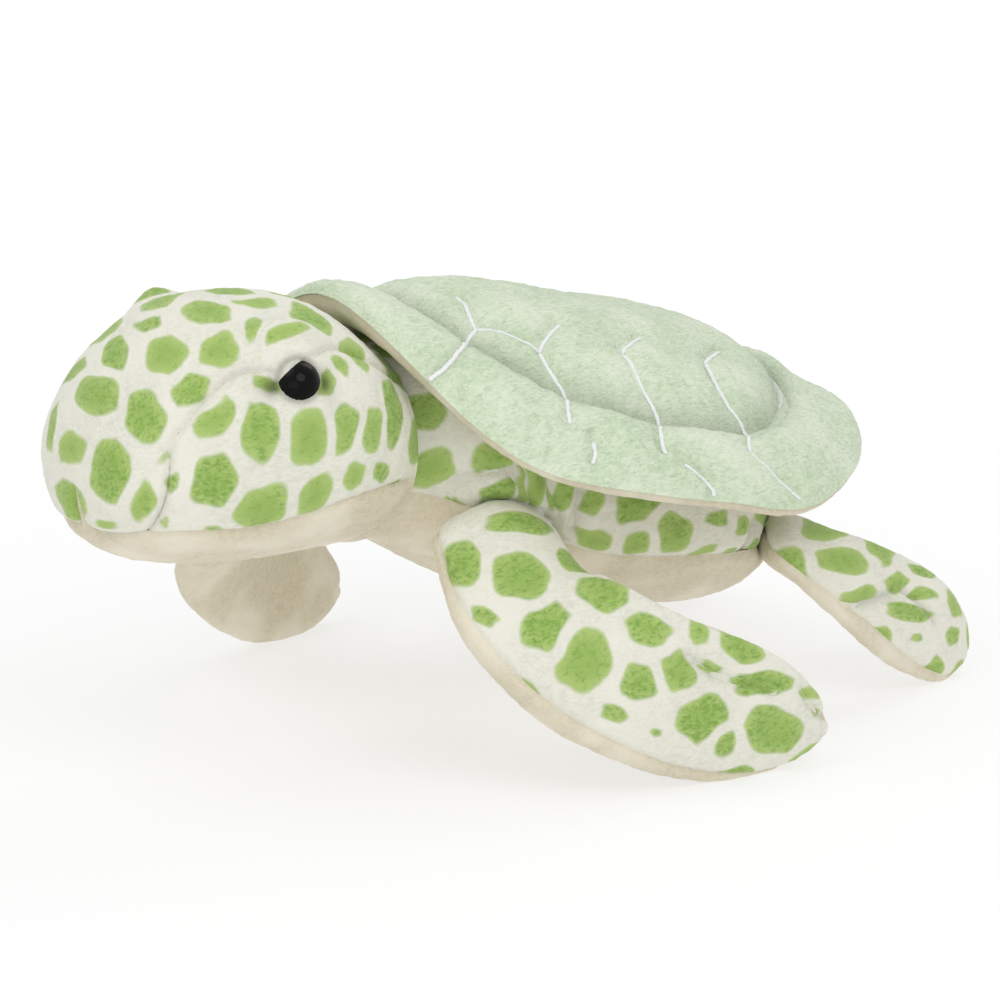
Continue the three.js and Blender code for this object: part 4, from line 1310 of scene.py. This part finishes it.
def dress(obj, material, bodies, replaced):
    """Gives a finished piece its material, attaches it to its body when one body is named, otherwise only
    bakes its place into its mesh, and hides the nodes that it stands for.
    """
    obj.data.materials.append(finish(material))
    if isinstance(bodies, str):
        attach(obj, bodies)
    else:
        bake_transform(obj)
    if replaced:
        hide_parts(*replaced)


def sew(name, outer, inner, slot, bodies, attributes=None, replaced=None):
    """Makes a padded skin of a slot's cloth, in place of the panel of its name."""
    skin = skin_mesh(name, outer, inner, attributes)
    dress(skin, CLOTHS[slot], bodies, [replaced or name.replace("skin", "panel")])


# Head

def head_face(points, normals):
    """The head's face with its brows, its sockets and the cloth round its eyes."""
    return over_eyes(points + normals * face_relief(points)[..., None])


def eye_shade(points):
    """Painted shade in the corners of the eyes and round their rims, from 0 to 1."""
    shade = np.zeros(points.shape[:-1])
    for side in (1, -1):
        a, b, c, _ = about_eye(points, side)
        rim = 0.6 * bell(np.hypot(a, b) - OPEN_RADIUS, 0.9)
        for part in (bump_at(a, b, *FRONT_SHADE), bump_at(a, b, *BACK_SHADE), rim):
            shade = np.maximum(shade, part * (np.abs(c) < EYE_CLOTH_DEPTH))
    return shade


def head_spots():
    places, angles = np.linspace(0, 1, 131)[:, None], ring_of(240)
    outer, inner = [on_side(head_form(places, angles, depth), 1) for depth in (0, PLUSH_THICKNESS)]
    face = head_face(outer, outward_normals(outer, inner))
    upper = (angles > -0.35 * RIGHT_ANGLE) | (angles < -1.65 * RIGHT_ANGLE)
    return Spots(tree_of(face), HEAD_SPOT_PIXELS, face[:, upper].reshape(-1, 3), 5)


def head_panel(name, places, start, end, columns, spots, cap_first, side=1):
    outer, inner = panel_grids(
        head_form, places, start, end, columns, side, cap_first=cap_first, limit=limit_at_neck)
    calm = np.clip(nearest(outer, outer[-1]) / NECK_CALM_WIDTH, 0, 1)
    normals = outward_normals(outer, inner) * calm[..., None]
    outer = head_face(outer, normals)
    attributes = {}
    if spots:
        attributes["spot"], attributes["tone"] = spots.edge_distance(outer)
    shade = eye_shade(outer)
    seams = [outer[1:, 0], outer[1:, -1], outer[-1]]
    from_eyes = nearest(outer, np.array([eye_frame(1)[0], eye_frame(-1)[0]]))
    fade = np.clip((from_eyes - EYE_CALM_RADIUS) / EYE_CALM_FADE, 0.12, 1)
    relief = fade * (pile(outer, sizes().pile_height) + seam_roll(outer, seams))
    outer = outer + normals * relief[..., None]
    if spots:
        # Painted shade in the eye corners and along the side seams, kept in the deep attribute
        attributes["deep"] = np.maximum(shade, 0.3 * seam_shade(outer, seams[:2], 0.9 * MM))
    sew(name, outer, inner, "spotted_plush" if spots else "beige_plush", "head", attributes)


class TURTLE_OT_head(bpy.types.Operator):
    """Sews the head's crown, cheeks and chin"""

    bl_idname = "turtle.head"
    bl_label = "Head"

    def execute(self, context):
        spots = head_spots()
        # The rows lie closer where the seams turn sharply
        muzzle = np.concatenate([
            np.linspace(CHEEK_START, 0.13, 16)[:-1], np.linspace(0.13, 0.2, 14)[:-1],
            np.linspace(0.2, 1, 108)])
        rows = fit_rows(np.concatenate([np.linspace(0, CHEEK_START, 20)[:-1], muzzle]), 1)
        head_panel(
            "head_crown_skin", rows, crown_seam, lambda p: math.pi - crown_seam(p), 208, spots, True)
        rows = fit_rows(np.maximum(muzzle, CHEEK_START + 0.0015), 0)
        for side, name in ((1, "cheek_skin_left"), (-1, "cheek_skin_right")):
            head_panel(name, rows, lambda p: -jaw_seam(p), cheek_seam, 80, spots, False, side)
        rows = fit_rows(np.concatenate([np.linspace(0, 0.1, 24)[:-1], np.linspace(0.1, 1, 100)]), 1)
        head_panel(
            "chin_skin", rows, lambda p: math.pi + jaw_seam(p), lambda p: 2 * math.pi - jaw_seam(p), 80,
            None, True)
        return {"FINISHED"}


class TURTLE_OT_eyes(bpy.types.Operator):
    """Turns the two glossy eyes with their shanks"""

    bl_idname = "turtle.eyes"
    bl_label = "Eyes"

    def execute(self, context):
        for side, name in ((1, "eye_dome_left"), (-1, "eye_dome_right")):
            centre, outward, _, _ = eye_frame(side)
            eye = self.dome(name)
            turn = Vector((0, 0, 1)).rotation_difference(Vector(outward)).to_matrix().to_4x4()
            place = Vector(centre + outward * DOME_LIFT * MM)
            eye.matrix_world = Matrix.Translation(place) @ turn
            select_only(eye)
            bpy.ops.object.transform_apply(location=True, rotation=True, scale=True)
            smooth(eye, 40)
            node = name.replace("_dome", "")
            dress(eye, "Glossy black plastic", "head", [node])
        return {"FINISHED"}

    def dome(self, name):
        select_none()
        bpy.ops.mesh.primitive_uv_sphere_add(segments=64, ring_count=40, radius=EYE_RADIUS)
        eye = bpy.context.active_object
        eye.name = name
        eye.data.name = name
        bpy.ops.object.mode_set(mode="EDIT")
        bpy.ops.mesh.select_all(action="SELECT")
        bpy.ops.mesh.bisect(plane_co=(0, 0, 0), plane_no=(0, 0, 1), use_fill=True, clear_inner=True)
        bpy.ops.mesh.select_all(action="SELECT")
        bpy.ops.transform.resize(value=(1, 1, EYE_DOME_HEIGHT / EYE_RADIUS))
        bpy.ops.object.mode_set(mode="OBJECT")
        for polygon in eye.data.polygons:
            polygon.select = abs(polygon.normal.z + 1) < 0.01 and abs(polygon.center.z) < 0.1 * MM
        bpy.ops.object.mode_set(mode="EDIT")
        bpy.ops.mesh.inset(thickness=EYE_RADIUS - EYE_SHANK_RADIUS, depth=0)
        bpy.ops.mesh.extrude_region_move(TRANSFORM_OT_translate={"value": (0, 0, -EYE_SHANK_LENGTH)})
        bpy.ops.object.mode_set(mode="OBJECT")
        return eye


# Body

def neighbours(grid):
    """A grid and its four shifted copies, with its edge repeated."""
    grown = np.pad(grid, 1, mode="edge")
    return grown[1:-1, 1:-1], grown[:-2, 1:-1], grown[2:, 1:-1], grown[1:-1, :-2], grown[1:-1, 2:]


def carve_for_flippers(outer, inner):
    """Draws the cloth in where a flipper lies or swings, as seen from the middle of the body."""
    swept = []
    for flipper in FLIPPERS.values():
        root = np.array([-0.98, -0.8, -0.5, -0.2]) * flipper.root_share
        places = np.concatenate([root, np.linspace(0, 1, 40)])
        skin, core = [flipper.skin(places, 40, depth) for depth in (-0.4 * MM, 2 * MM)]
        skin = skin + outward_normals(skin, core) * root_swelling(flipper, skin)[..., None]
        for swing in np.linspace(flipper.limits[0], flipper.limits[1] * CARVE_SWING, 5):
            swept.append(flipper.turned(skin, swing))
    tree = tree_of(*swept)
    place = (outer[..., 1] - NECK_Y) / BODY_LENGTH
    origin = np.stack([np.full_like(place, MIDDLE_X), outer[..., 1], body_at(place)[0]], -1)
    far = np.linalg.norm(outer - origin, axis=-1)
    way = unit(outer - origin)
    depth = np.zeros(outer.shape[:2])
    for i, j in np.argwhere(np.broadcast_to(place[:, :1] >= CARVE_START, place.shape)):
        hit = tree.ray_cast(Vector(origin[i, j]), Vector(way[i, j]), float(far[i, j] + CARVE_ROOM))
        if hit[0] is not None:
            depth[i, j] = min(far[i, j] - hit[3], DEEPEST_CARVE)
    depth = np.max(neighbours(depth), axis=0)
    for _ in range(8):
        near = neighbours(depth)
        depth = (sum(near) + near[0]) / 6
    return outer - way * depth[..., None], inner - way * depth[..., None]


def cast_both_sides(tree, lines):
    """Lines of the photograph on a surface, and their mirror image."""
    result = []
    for line in lines:
        hits = [cast(tree, pixel)[0] for pixel in along(line, FOLD_PIXEL_STEP)]
        hits = np.array([hit for hit in hits if hit is not None])
        result += [hits, hits * np.array([-1, 1, 1]) + np.array([2 * MIDDLE_X, 0, 0])]
    return result


class TURTLE_OT_body(bpy.types.Operator):
    """Sews the flanks and the belly"""

    bl_idname = "turtle.body"
    bl_label = "Body"

    def execute(self, context):
        places = np.concatenate([np.linspace(-0.9, 0, 12)[:-1], np.linspace(0, 1, 120)])
        angles = ring_of(132)
        base = on_side(body_form(places[:, None], angles, 0), 1)
        tree = tree_of(base)
        upper = base[:, (angles > -0.24 * RIGHT_ANGLE) | (angles < -1.76 * RIGHT_ANGLE)]
        spots = Spots(tree, BODY_SPOT_PIXELS, upper.reshape(-1, 3), 9)
        folds = cast_both_sides(tree, FLANK_FOLD_PIXELS)
        creases = cast_both_sides(tree, [SHOULDER_CREASE_PIXELS])
        for side, name in ((1, "flank_skin_left"), (-1, "flank_skin_right")):
            self.panel(name, lambda p: -belly_seam(p), lambda p: np.full_like(p, RIGHT_ANGLE), 112,
                       side, spots, folds, creases)
        self.panel("belly_skin", lambda p: math.pi + belly_seam(p),
                   lambda p: 2 * math.pi - belly_seam(p), 100)
        return {"FINISHED"}

    def panel(self, name, start, end, columns, side=1, spots=None, folds=(), creases=()):
        rows = fit_rows(np.concatenate([np.linspace(-0.94, 0, 25)[:-1], np.linspace(0, 1, 168)]), 1)
        outer, inner = panel_grids(body_form, rows, start, end, columns, side, cap_last=True)
        relief = (
            lumpy(outer, *BODY_LUMPS) + pile(outer, sizes().pile_height)
            + seam_roll(outer, [outer[:, 0], outer[:, -1]])
        )
        attributes = {}
        if spots:
            attributes["spot"], attributes["tone"] = spots.edge_distance(outer)
            # Painted shade in the flank's folds and along the shoulder's crease, kept in the deep attribute
            attributes["deep"] = np.clip(-valley(outer, folds + creases, 0.25, 1.3 * MM), 0, 1)
            relief = relief + valley(outer, folds, *FLANK_FOLD) + valley(outer, creases, *SHOULDER_CREASE)
        behind = outer[..., 1] - NECK_Y - NECK_EDGE
        relief = relief * np.clip(behind / (8 * MM), 0.05, 1)
        relief = relief - NECK_TUCK[0] * bell(behind, NECK_TUCK[1])
        normals = outward_normals(outer, inner)
        outer, inner = carve_for_flippers(outer + normals * relief[..., None], inner)
        sew(name, outer, inner, "spotted_plush" if spots else "beige_plush", "body", attributes)


# Shell

def dropped(tree, point):
    """The point of a surface straight below or above a point."""
    hit = tree.ray_cast(Vector((point[0], point[1], 0.3)), Vector((0, 0, -1)))[0]
    return None if hit is None else np.array(hit)


def hidden(tree, point):
    """Whether the photograph's camera can't see a point of a surface."""
    to_camera, _, _ = camera_directions()
    origin = VIEW_TARGET + to_camera * VIEW_DISTANCE
    hit = tree.ray_cast(Vector(origin), Vector(unit(point - origin)))[0]
    return hit is not None and np.linalg.norm(np.array(hit) - point) > HIDDEN_GAP


def quilt_lines(tree):
    """The quilting lines on the shell's face: those of the photograph and their mirror image."""
    lines = []
    for line in QUILT_PIXELS:
        hits = []
        for pixel in along(line, PIXEL_STEP):
            hit = cast(tree, pixel)[0]
            if hit is None or (hits and np.linalg.norm(hit - hits[-1]) > FAR_HIT):
                break
            hits.append(hit)
        if len(hits) < 2:
            continue
        across = [dropped(tree, (2 * MIDDLE_X - point[0], point[1])) for point in hits]
        across = [point for point in across if point is not None and hidden(tree, point)]
        lines += [np.array(points) for points in (hits, across) if len(points) > 1]
    return lines


class TURTLE_OT_shell(bpy.types.Operator):
    """Makes the quilted shell, its stuffing, its underside and its thread"""

    bl_idname = "turtle.shell"
    bl_label = "Shell"

    def execute(self, context):
        rim = DOME_SHARE + (1 - DOME_SHARE) * np.linspace(0, 1, 36)[1:]
        shares = np.concatenate([np.linspace(0, DOME_SHARE, 57), rim])
        across, length = disc_grid(shares)
        tail = toward(across, length) ** 2
        bend = shell_bend(across, length)
        outer = sheet(shares, -COVER_OVERHANG, lambda ring: cover_height(ring, tail))
        inner = sheet(shares, PLUSH_THICKNESS, lambda ring: np.maximum(
            cover_height(ring, tail) - PLUSH_THICKNESS, LIP_HEIGHT + 0.05 * MM))
        lines = quilt_lines(tree_of(outer + bend))
        normals = outward_normals(outer, inner)
        held = np.clip((1 - np.hypot(across, length)) / 0.03, 0, 1)
        drawn = valley(outer, lines, sizes().quilt_depth, QUILT_WIDTH) + valley(
            outer, lines, *QUILT_HOLLOW)
        floor_near = bell(dome_ring(across, length) - DOME_SHARE, 0.05)
        relief = held * (
            lumpy(outer, *COVER_LUMPS) + pile(outer, sizes().shell_pile_height)
            + drawn * (1 - 0.6 * floor_near)
        ) + lumpy(outer, *COVER_TUFTS)
        outer = outer + normals * relief[..., None] + edge_wave(outer, across, length) + bend
        inner = inner + bend
        inner[..., 2] = np.minimum(inner[..., 2], outer[..., 2] - 0.3 * MM)
        # Painted shade on the valley's floor and along the quilting lines, kept in the deep attribute
        deep = np.maximum(0.8 * floor_near, 0.6 * seam_shade(outer, lines, 1.6 * MM))
        self.stuffing(shares, inner)
        sew("shell_cover_skin", outer, inner, "shell_plush", "body", {"deep": deep}, "shell_cover")
        self.underside()
        self.thread(lines, outer)
        return {"FINISHED"}

    def stuffing(self, shares, under_cover):
        """Fills the room between the cover and the underside."""
        low = sheet(shares, PLUSH_THICKNESS + 1 * MM, lambda ring: PLUSH_THICKNESS + 1.2 * MM)
        low = low + shell_bend(*disc_grid(shares), rim_sinks=False)
        high = low.copy()
        high[..., 2] = np.maximum(under_cover[..., 2] - 0.6 * MM, low[..., 2] + 0.3 * MM)
        sew("shell_filling", high, low, "stuffing", "body", replaced="shell_stuffing")

    def underside(self):
        shares = np.concatenate([np.linspace(0, 0.86, 30), np.linspace(0.86, 1, 28)[1:]])
        across, length = disc_grid(shares)

        def on_lip(ring):
            return np.clip((ring - LIP_START_SHARE) / (1 - LIP_START_SHARE), 0, 1)

        outer = sheet(shares, 0, lambda ring: LIP_HEIGHT * (1 - np.sqrt(1 - on_lip(ring) ** 2)))
        inner = sheet(shares, PLUSH_THICKNESS, lambda ring: PLUSH_THICKNESS + on_lip(ring) * 0.7 * MM)
        relief = lumpy(outer, *UNDERSIDE_TUFTS) + lumpy(outer, *UNDERSIDE_LUMPS)
        relief = np.minimum(relief, HIGHEST_UNDERSIDE)
        lift = edge_wave(outer, across, length) + shell_bend(across, length, rim_sinks=False)
        outer = outer + outward_normals(outer, inner) * relief[..., None] + lift
        sew("shell_underside_skin", outer, inner + lift, "beige_plush", "body")

    def thread(self, lines, outer):
        tree = tree_of(outer)
        shaped = bmesh.new()
        for line in lines:
            hits = [
                tree.ray_cast(Vector((x, y, z + 0.02)), Vector((0, 0, -1)))[:2]
                for x, y, z in along(line, THREAD_STEP)
            ]
            hits = [hit for hit in hits if hit[0] is not None]
            if len(hits) < 3:
                continue
            points, normals = [np.array(column) for column in zip(*hits)]
            for _ in range(THREAD_SMOOTHING):
                points[1:-1] = (points[:-2] + points[1:-1] * 2 + points[2:]) / 4
            tube(shaped, points, normals, sizes().thread_radius, sizes().stitch_length)
        thread = finished_object("quilting_thread", shaped, bpy.data.meshes.new("quilting_thread"), 70)
        dress(thread, "White thread", "body", None)


def tube(shaped, points, normals, radius, stitch, sides=8):
    """A run of plump stitches laid along points."""
    run = np.concatenate([[0], np.cumsum(np.linalg.norm(np.diff(points, axis=0), axis=1))])
    tangent = unit(np.gradient(points, axis=0))
    normals = np.where(normals[:, 2:] < 0, -normals, normals)
    up = unit(normals - tangent * dot(normals, tangent))
    across = np.cross(tangent, up)
    swell = np.abs(np.sin(math.pi * run / stitch)) ** STITCH_SWELL
    plump = STITCH_WAIST + (1 - STITCH_WAIST) * swell
    plump[0] = plump[-1] = STITCH_END
    rings = []
    for k in range(len(points)):
        ring = []
        for turn in np.linspace(0, 2 * math.pi, sides + 1)[:-1]:
            offset = across[k] * math.cos(turn) * THREAD_WIDE + up[k] * math.sin(turn) * THREAD_HIGH
            lifted = points[k] + up[k] * radius * THREAD_LIFT
            ring.append(shaped.verts.new(lifted + offset * radius * plump[k]))
        rings.append(ring)
    for a, b in zip(rings[:-1], rings[1:]):
        for i in range(sides):
            shaped.faces.new((a[i], a[(i + 1) % sides], b[(i + 1) % sides], b[i]))
    shaped.faces.new(rings[0][::-1])
    shaped.faces.new(rings[-1])


# Flippers

def nearest_share(flipper, point):
    """The place and angle of the flipper's face nearest to a point."""
    places, angles = np.linspace(0, 1, 161), ring_of(144)
    gap = np.linalg.norm(flipper.skin(places, 144) - point, axis=-1)
    i, j = np.unravel_index(gap.argmin(), gap.shape)
    return places[i], angles[j]


def crease_shares(flipper, pixel_lines):
    """Lines of the photograph, as places and angles on a flipper's face."""
    tree = tree_of(flipper.skin(np.linspace(0, 1, 111), 96))
    result = []
    for line in pixel_lines:
        hits = [cast(tree, pixel)[0] for pixel in along(line, PIXEL_STEP)]
        result.append(np.array([nearest_share(flipper, hit) for hit in hits if hit is not None]))
    return [line for line in result if len(line) > 1]


def lines_on(flipper, shares):
    return [on_side(flipper.form(line[:, 0], line[:, 1], 0), flipper.side) for line in shares]


def near_one(flipper):
    """The near flipper of the same pair, which the photograph shows."""
    return FLIPPERS[flipper.name.replace("right", "left")]


def root_swelling(flipper, points):
    """How far the stuffed root of a flipper swells into the shoulder."""
    shares = crease_shares(near_one(flipper), [flipper.pair["root_pixels"]])
    height, width = flipper.pair["swelling"]
    return -valley(points, lines_on(flipper, shares), height, width)


def sew_flipper(name, pixels, seed):
    flipper = FLIPPERS[name]
    base = flipper.skin(np.linspace(0, 1, 111), 96)
    spots = Spots(tree_of(base), pixels, base.reshape(-1, 3), seed)
    creases = lines_on(flipper, crease_shares(near_one(flipper), flipper.pair["crease_pixels"]))
    root = np.array([-0.985, -0.93, -0.82, -0.65, -0.45, -0.22]) * flipper.root_share
    places = fit_rows(np.concatenate([root, np.linspace(0, 1, 150)]), 1)

    def middle(p):
        return np.full_like(p, math.pi)

    for suffix, first, last, slot in (
        ("_top_skin", lead_seam, middle, "spotted_plush"),
        ("_underside_skin", middle, lambda p: 2 * math.pi + lead_seam(p), "beige_plush"),
    ):
        outer, inner = panel_grids(flipper.form, places, first, last, 72, flipper.side, cap_last=True)
        fade = np.clip(np.linalg.norm(outer - outer[-1, 0], axis=-1) / (4 * MM), 0, 1)
        attributes = {}
        if slot == "spotted_plush":
            attributes["spot"], attributes["tone"] = spots.edge_distance(outer)
            # Painted shade in the fingers' creases, kept in the deep attribute
            attributes["deep"] = np.clip(-valley(outer, creases, 0.3, 1 * MM), 0, 1) * fade
        relief = fade * (
            lumpy(outer, *FLIPPER_LUMPS, seed + 3) + pile(outer, sizes().pile_height)
            + valley(outer, creases, *FINGER_CREASE) + valley(outer, creases, *FINGER_HOLLOW)
            + seam_roll(outer, [outer[:-1, 0], outer[:-1, -1]], 0.8)
        ) + root_swelling(flipper, outer)
        outer = outer + outward_normals(outer, inner) * relief[..., None]
        outer[..., 2] = np.maximum(outer[..., 2], 0)
        inner[..., 2] = np.maximum(inner[..., 2], 1 * MM)
        bodies = ("body", name, *flipper.blend_points())
        sew(name + suffix, outer, inner, slot, bodies, attributes)


class TURTLE_OT_front_flippers(bpy.types.Operator):
    """Sews the two front flippers"""

    bl_idname = "turtle.front_flippers"
    bl_label = "Front flippers"

    def execute(self, context):
        sew_flipper("front_flipper_left", FRONT_SPOT_PIXELS, 50)
        sew_flipper("front_flipper_right", FAR_SPOT_PIXELS, 60)
        return {"FINISHED"}


class TURTLE_OT_rear_flippers(bpy.types.Operator):
    """Sews the two rear flippers"""

    bl_idname = "turtle.rear_flippers"
    bl_label = "Rear flippers"

    def execute(self, context):
        sew_flipper("rear_flipper_left", REAR_SPOT_PIXELS, 70)
        sew_flipper("rear_flipper_right", [], 80)
        return {"FINISHED"}


class TURTLE_OT_filling(bpy.types.Operator):
    """Finishes the stuffing, the pellets and the washers inside"""

    bl_idname = "turtle.filling"
    bl_label = "Filling"

    def execute(self, context):
        kinds = {"stuffing": "Stuffing fibre", "pouch": "Pellets", "washer": "Moulded washer"}
        for name, node in frame["nodes"].items():
            for word, material in kinds.items():
                if word in name:
                    node.data.materials.clear()
                    node.data.materials.append(finish(material))
        return {"FINISHED"}


# Stage

# Each light's place, size and power
LIGHTS = {
    "Key light": ((-0.2, -0.85, 1.5), 1.2, 5.2),
    "Side light": ((1.2, -0.3, 1.2), 1.0, 6.6),
    "Low fill": ((0.95, -1.15, 0.3), 1.2, 2),
    "Back light": ((-0.3, 1.1, 1.3), 1.0, 3.5),
}
LIT_HEIGHT = 0.05
WORLD_LIGHT = 0.6
FLOOR_SIZE, FLOOR_DROP = 8, 0.0002
GLOW_NEAR, GLOW_FAR = 0.05, 0.6
WHITE = (1, 1, 1, 1)


def aim(obj, location, way):
    bpy.context.scene.collection.objects.link(obj)
    obj.location = location
    obj.rotation_euler = Vector(way).to_track_quat("-Z", "Y").to_euler()


class TURTLE_OT_stage(bpy.types.Operator):
    """Sets the pale floor, the soft lights, the white world and the camera"""

    bl_idname = "turtle.stage"
    bl_label = "Stage"

    def execute(self, context):
        bpy.context.scene.view_settings.view_transform = "Standard"
        self.floor()
        self.world()
        middle = Vector((float(MIDDLE_X), float(VIEW_TARGET[1]), LIT_HEIGHT))
        for name, (location, size, power) in LIGHTS.items():
            light = bpy.data.lights.new(name, "AREA")
            light.shape, light.size, light.energy = "DISK", size, power
            aim(bpy.data.objects.new(name, light), location, middle - Vector(location))
        self.camera()
        return {"FINISHED"}

    def camera(self):
        to_camera, _, _ = camera_directions()
        data = bpy.data.cameras.new("Camera")
        camera = bpy.data.objects.new("Camera", data)
        aim(camera, Vector(VIEW_TARGET + to_camera * VIEW_DISTANCE), -to_camera)
        data.sensor_width = SENSOR_WIDTH
        data.lens = SENSOR_WIDTH * VIEW_DISTANCE / (PICTURE_SIDE * PIXEL_SIZE)
        data.shift_y = (TARGET_PIXEL[1] - PICTURE_SIDE / 2) / PICTURE_SIDE
        bpy.context.scene.camera = camera

    def floor(self):
        """A pale floor that glows white away from the toy and keeps its shadow near it."""
        select_none()
        bpy.ops.mesh.primitive_plane_add(size=FLOOR_SIZE, location=(0, 0, -FLOOR_DROP))
        floor = bpy.context.active_object
        floor.name = "Floor"
        material, tree, shader = new_material("Pale floor")
        length = add_node(tree, "VectorMath", {0: object_place(tree)}, operation="LENGTH")
        far = map_range(tree, length.outputs["Value"], GLOW_NEAR, GLOW_FAR, FLOOR_GLOW, 1)
        set_inputs(tree, shader, {
            "Roughness": 0.9, "Specular IOR Level": 0.1, "Emission Color": WHITE,
            "Emission Strength": far,
            "Base Color": mix_colour(tree, far, (0.98, 0.98, 0.98, 1), (0, 0, 0, 1)),
        })
        floor.data.materials.append(material)

    def world(self):
        world = bpy.data.worlds.new("White studio")
        bpy.context.scene.world = world
        world.use_nodes = True
        tree = world.node_tree
        path = add_node(tree, "LightPath").outputs
        seen = maths(tree, "MAXIMUM", path["Is Camera Ray"], path["Is Glossy Ray"])
        seen = maths(tree, "MAXIMUM", seen, path["Is Transmission Ray"])
        strength = map_range(tree, seen, 0, 1, WORLD_LIGHT, 1.0, soft=False)
        set_inputs(tree, tree.nodes["Background"], {"Color": WHITE, "Strength": strength})


OPERATORS = [
    TURTLE_OT_head, TURTLE_OT_eyes, TURTLE_OT_body, TURTLE_OT_shell, TURTLE_OT_front_flippers,
    TURTLE_OT_rear_flippers, TURTLE_OT_filling, TURTLE_OT_stage,
]


class TURTLE_PT_panel(bpy.types.Panel):
    """Lists the turtle's pieces and their sizes"""

    bl_idname = "TURTLE_PT_panel"
    bl_label = "Plush turtle"
    bl_space_type = "VIEW_3D"
    bl_region_type = "UI"
    bl_category = "Plush turtle"

    def draw(self, context):
        for operator in OPERATORS:
            self.layout.operator(operator.bl_idname)
        for group in (context.scene.turtle_sizes, context.scene.turtle_colours):
            box = self.layout.box()
            for key in group.bl_rna.properties.keys():
                if key not in ("name", "rna_type"):
                    box.prop(group, key)


CLASSES = [TurtleSizes, TurtleColours, *OPERATORS, TURTLE_PT_panel]


def register():
    for cls in CLASSES:
        bpy.utils.register_class(cls)
    bpy.types.Scene.turtle_sizes = bpy.props.PointerProperty(type=TurtleSizes)
    bpy.types.Scene.turtle_colours = bpy.props.PointerProperty(type=TurtleColours)


def unregister():
    del bpy.types.Scene.turtle_colours
    del bpy.types.Scene.turtle_sizes
    for cls in reversed(CLASSES):
        bpy.utils.unregister_class(cls)


def main():
    register()
    for operator in OPERATORS:
        family, name = operator.bl_idname.split(".")
        getattr(getattr(bpy.ops, family), name)()


if __name__ == "__main__":
    main()
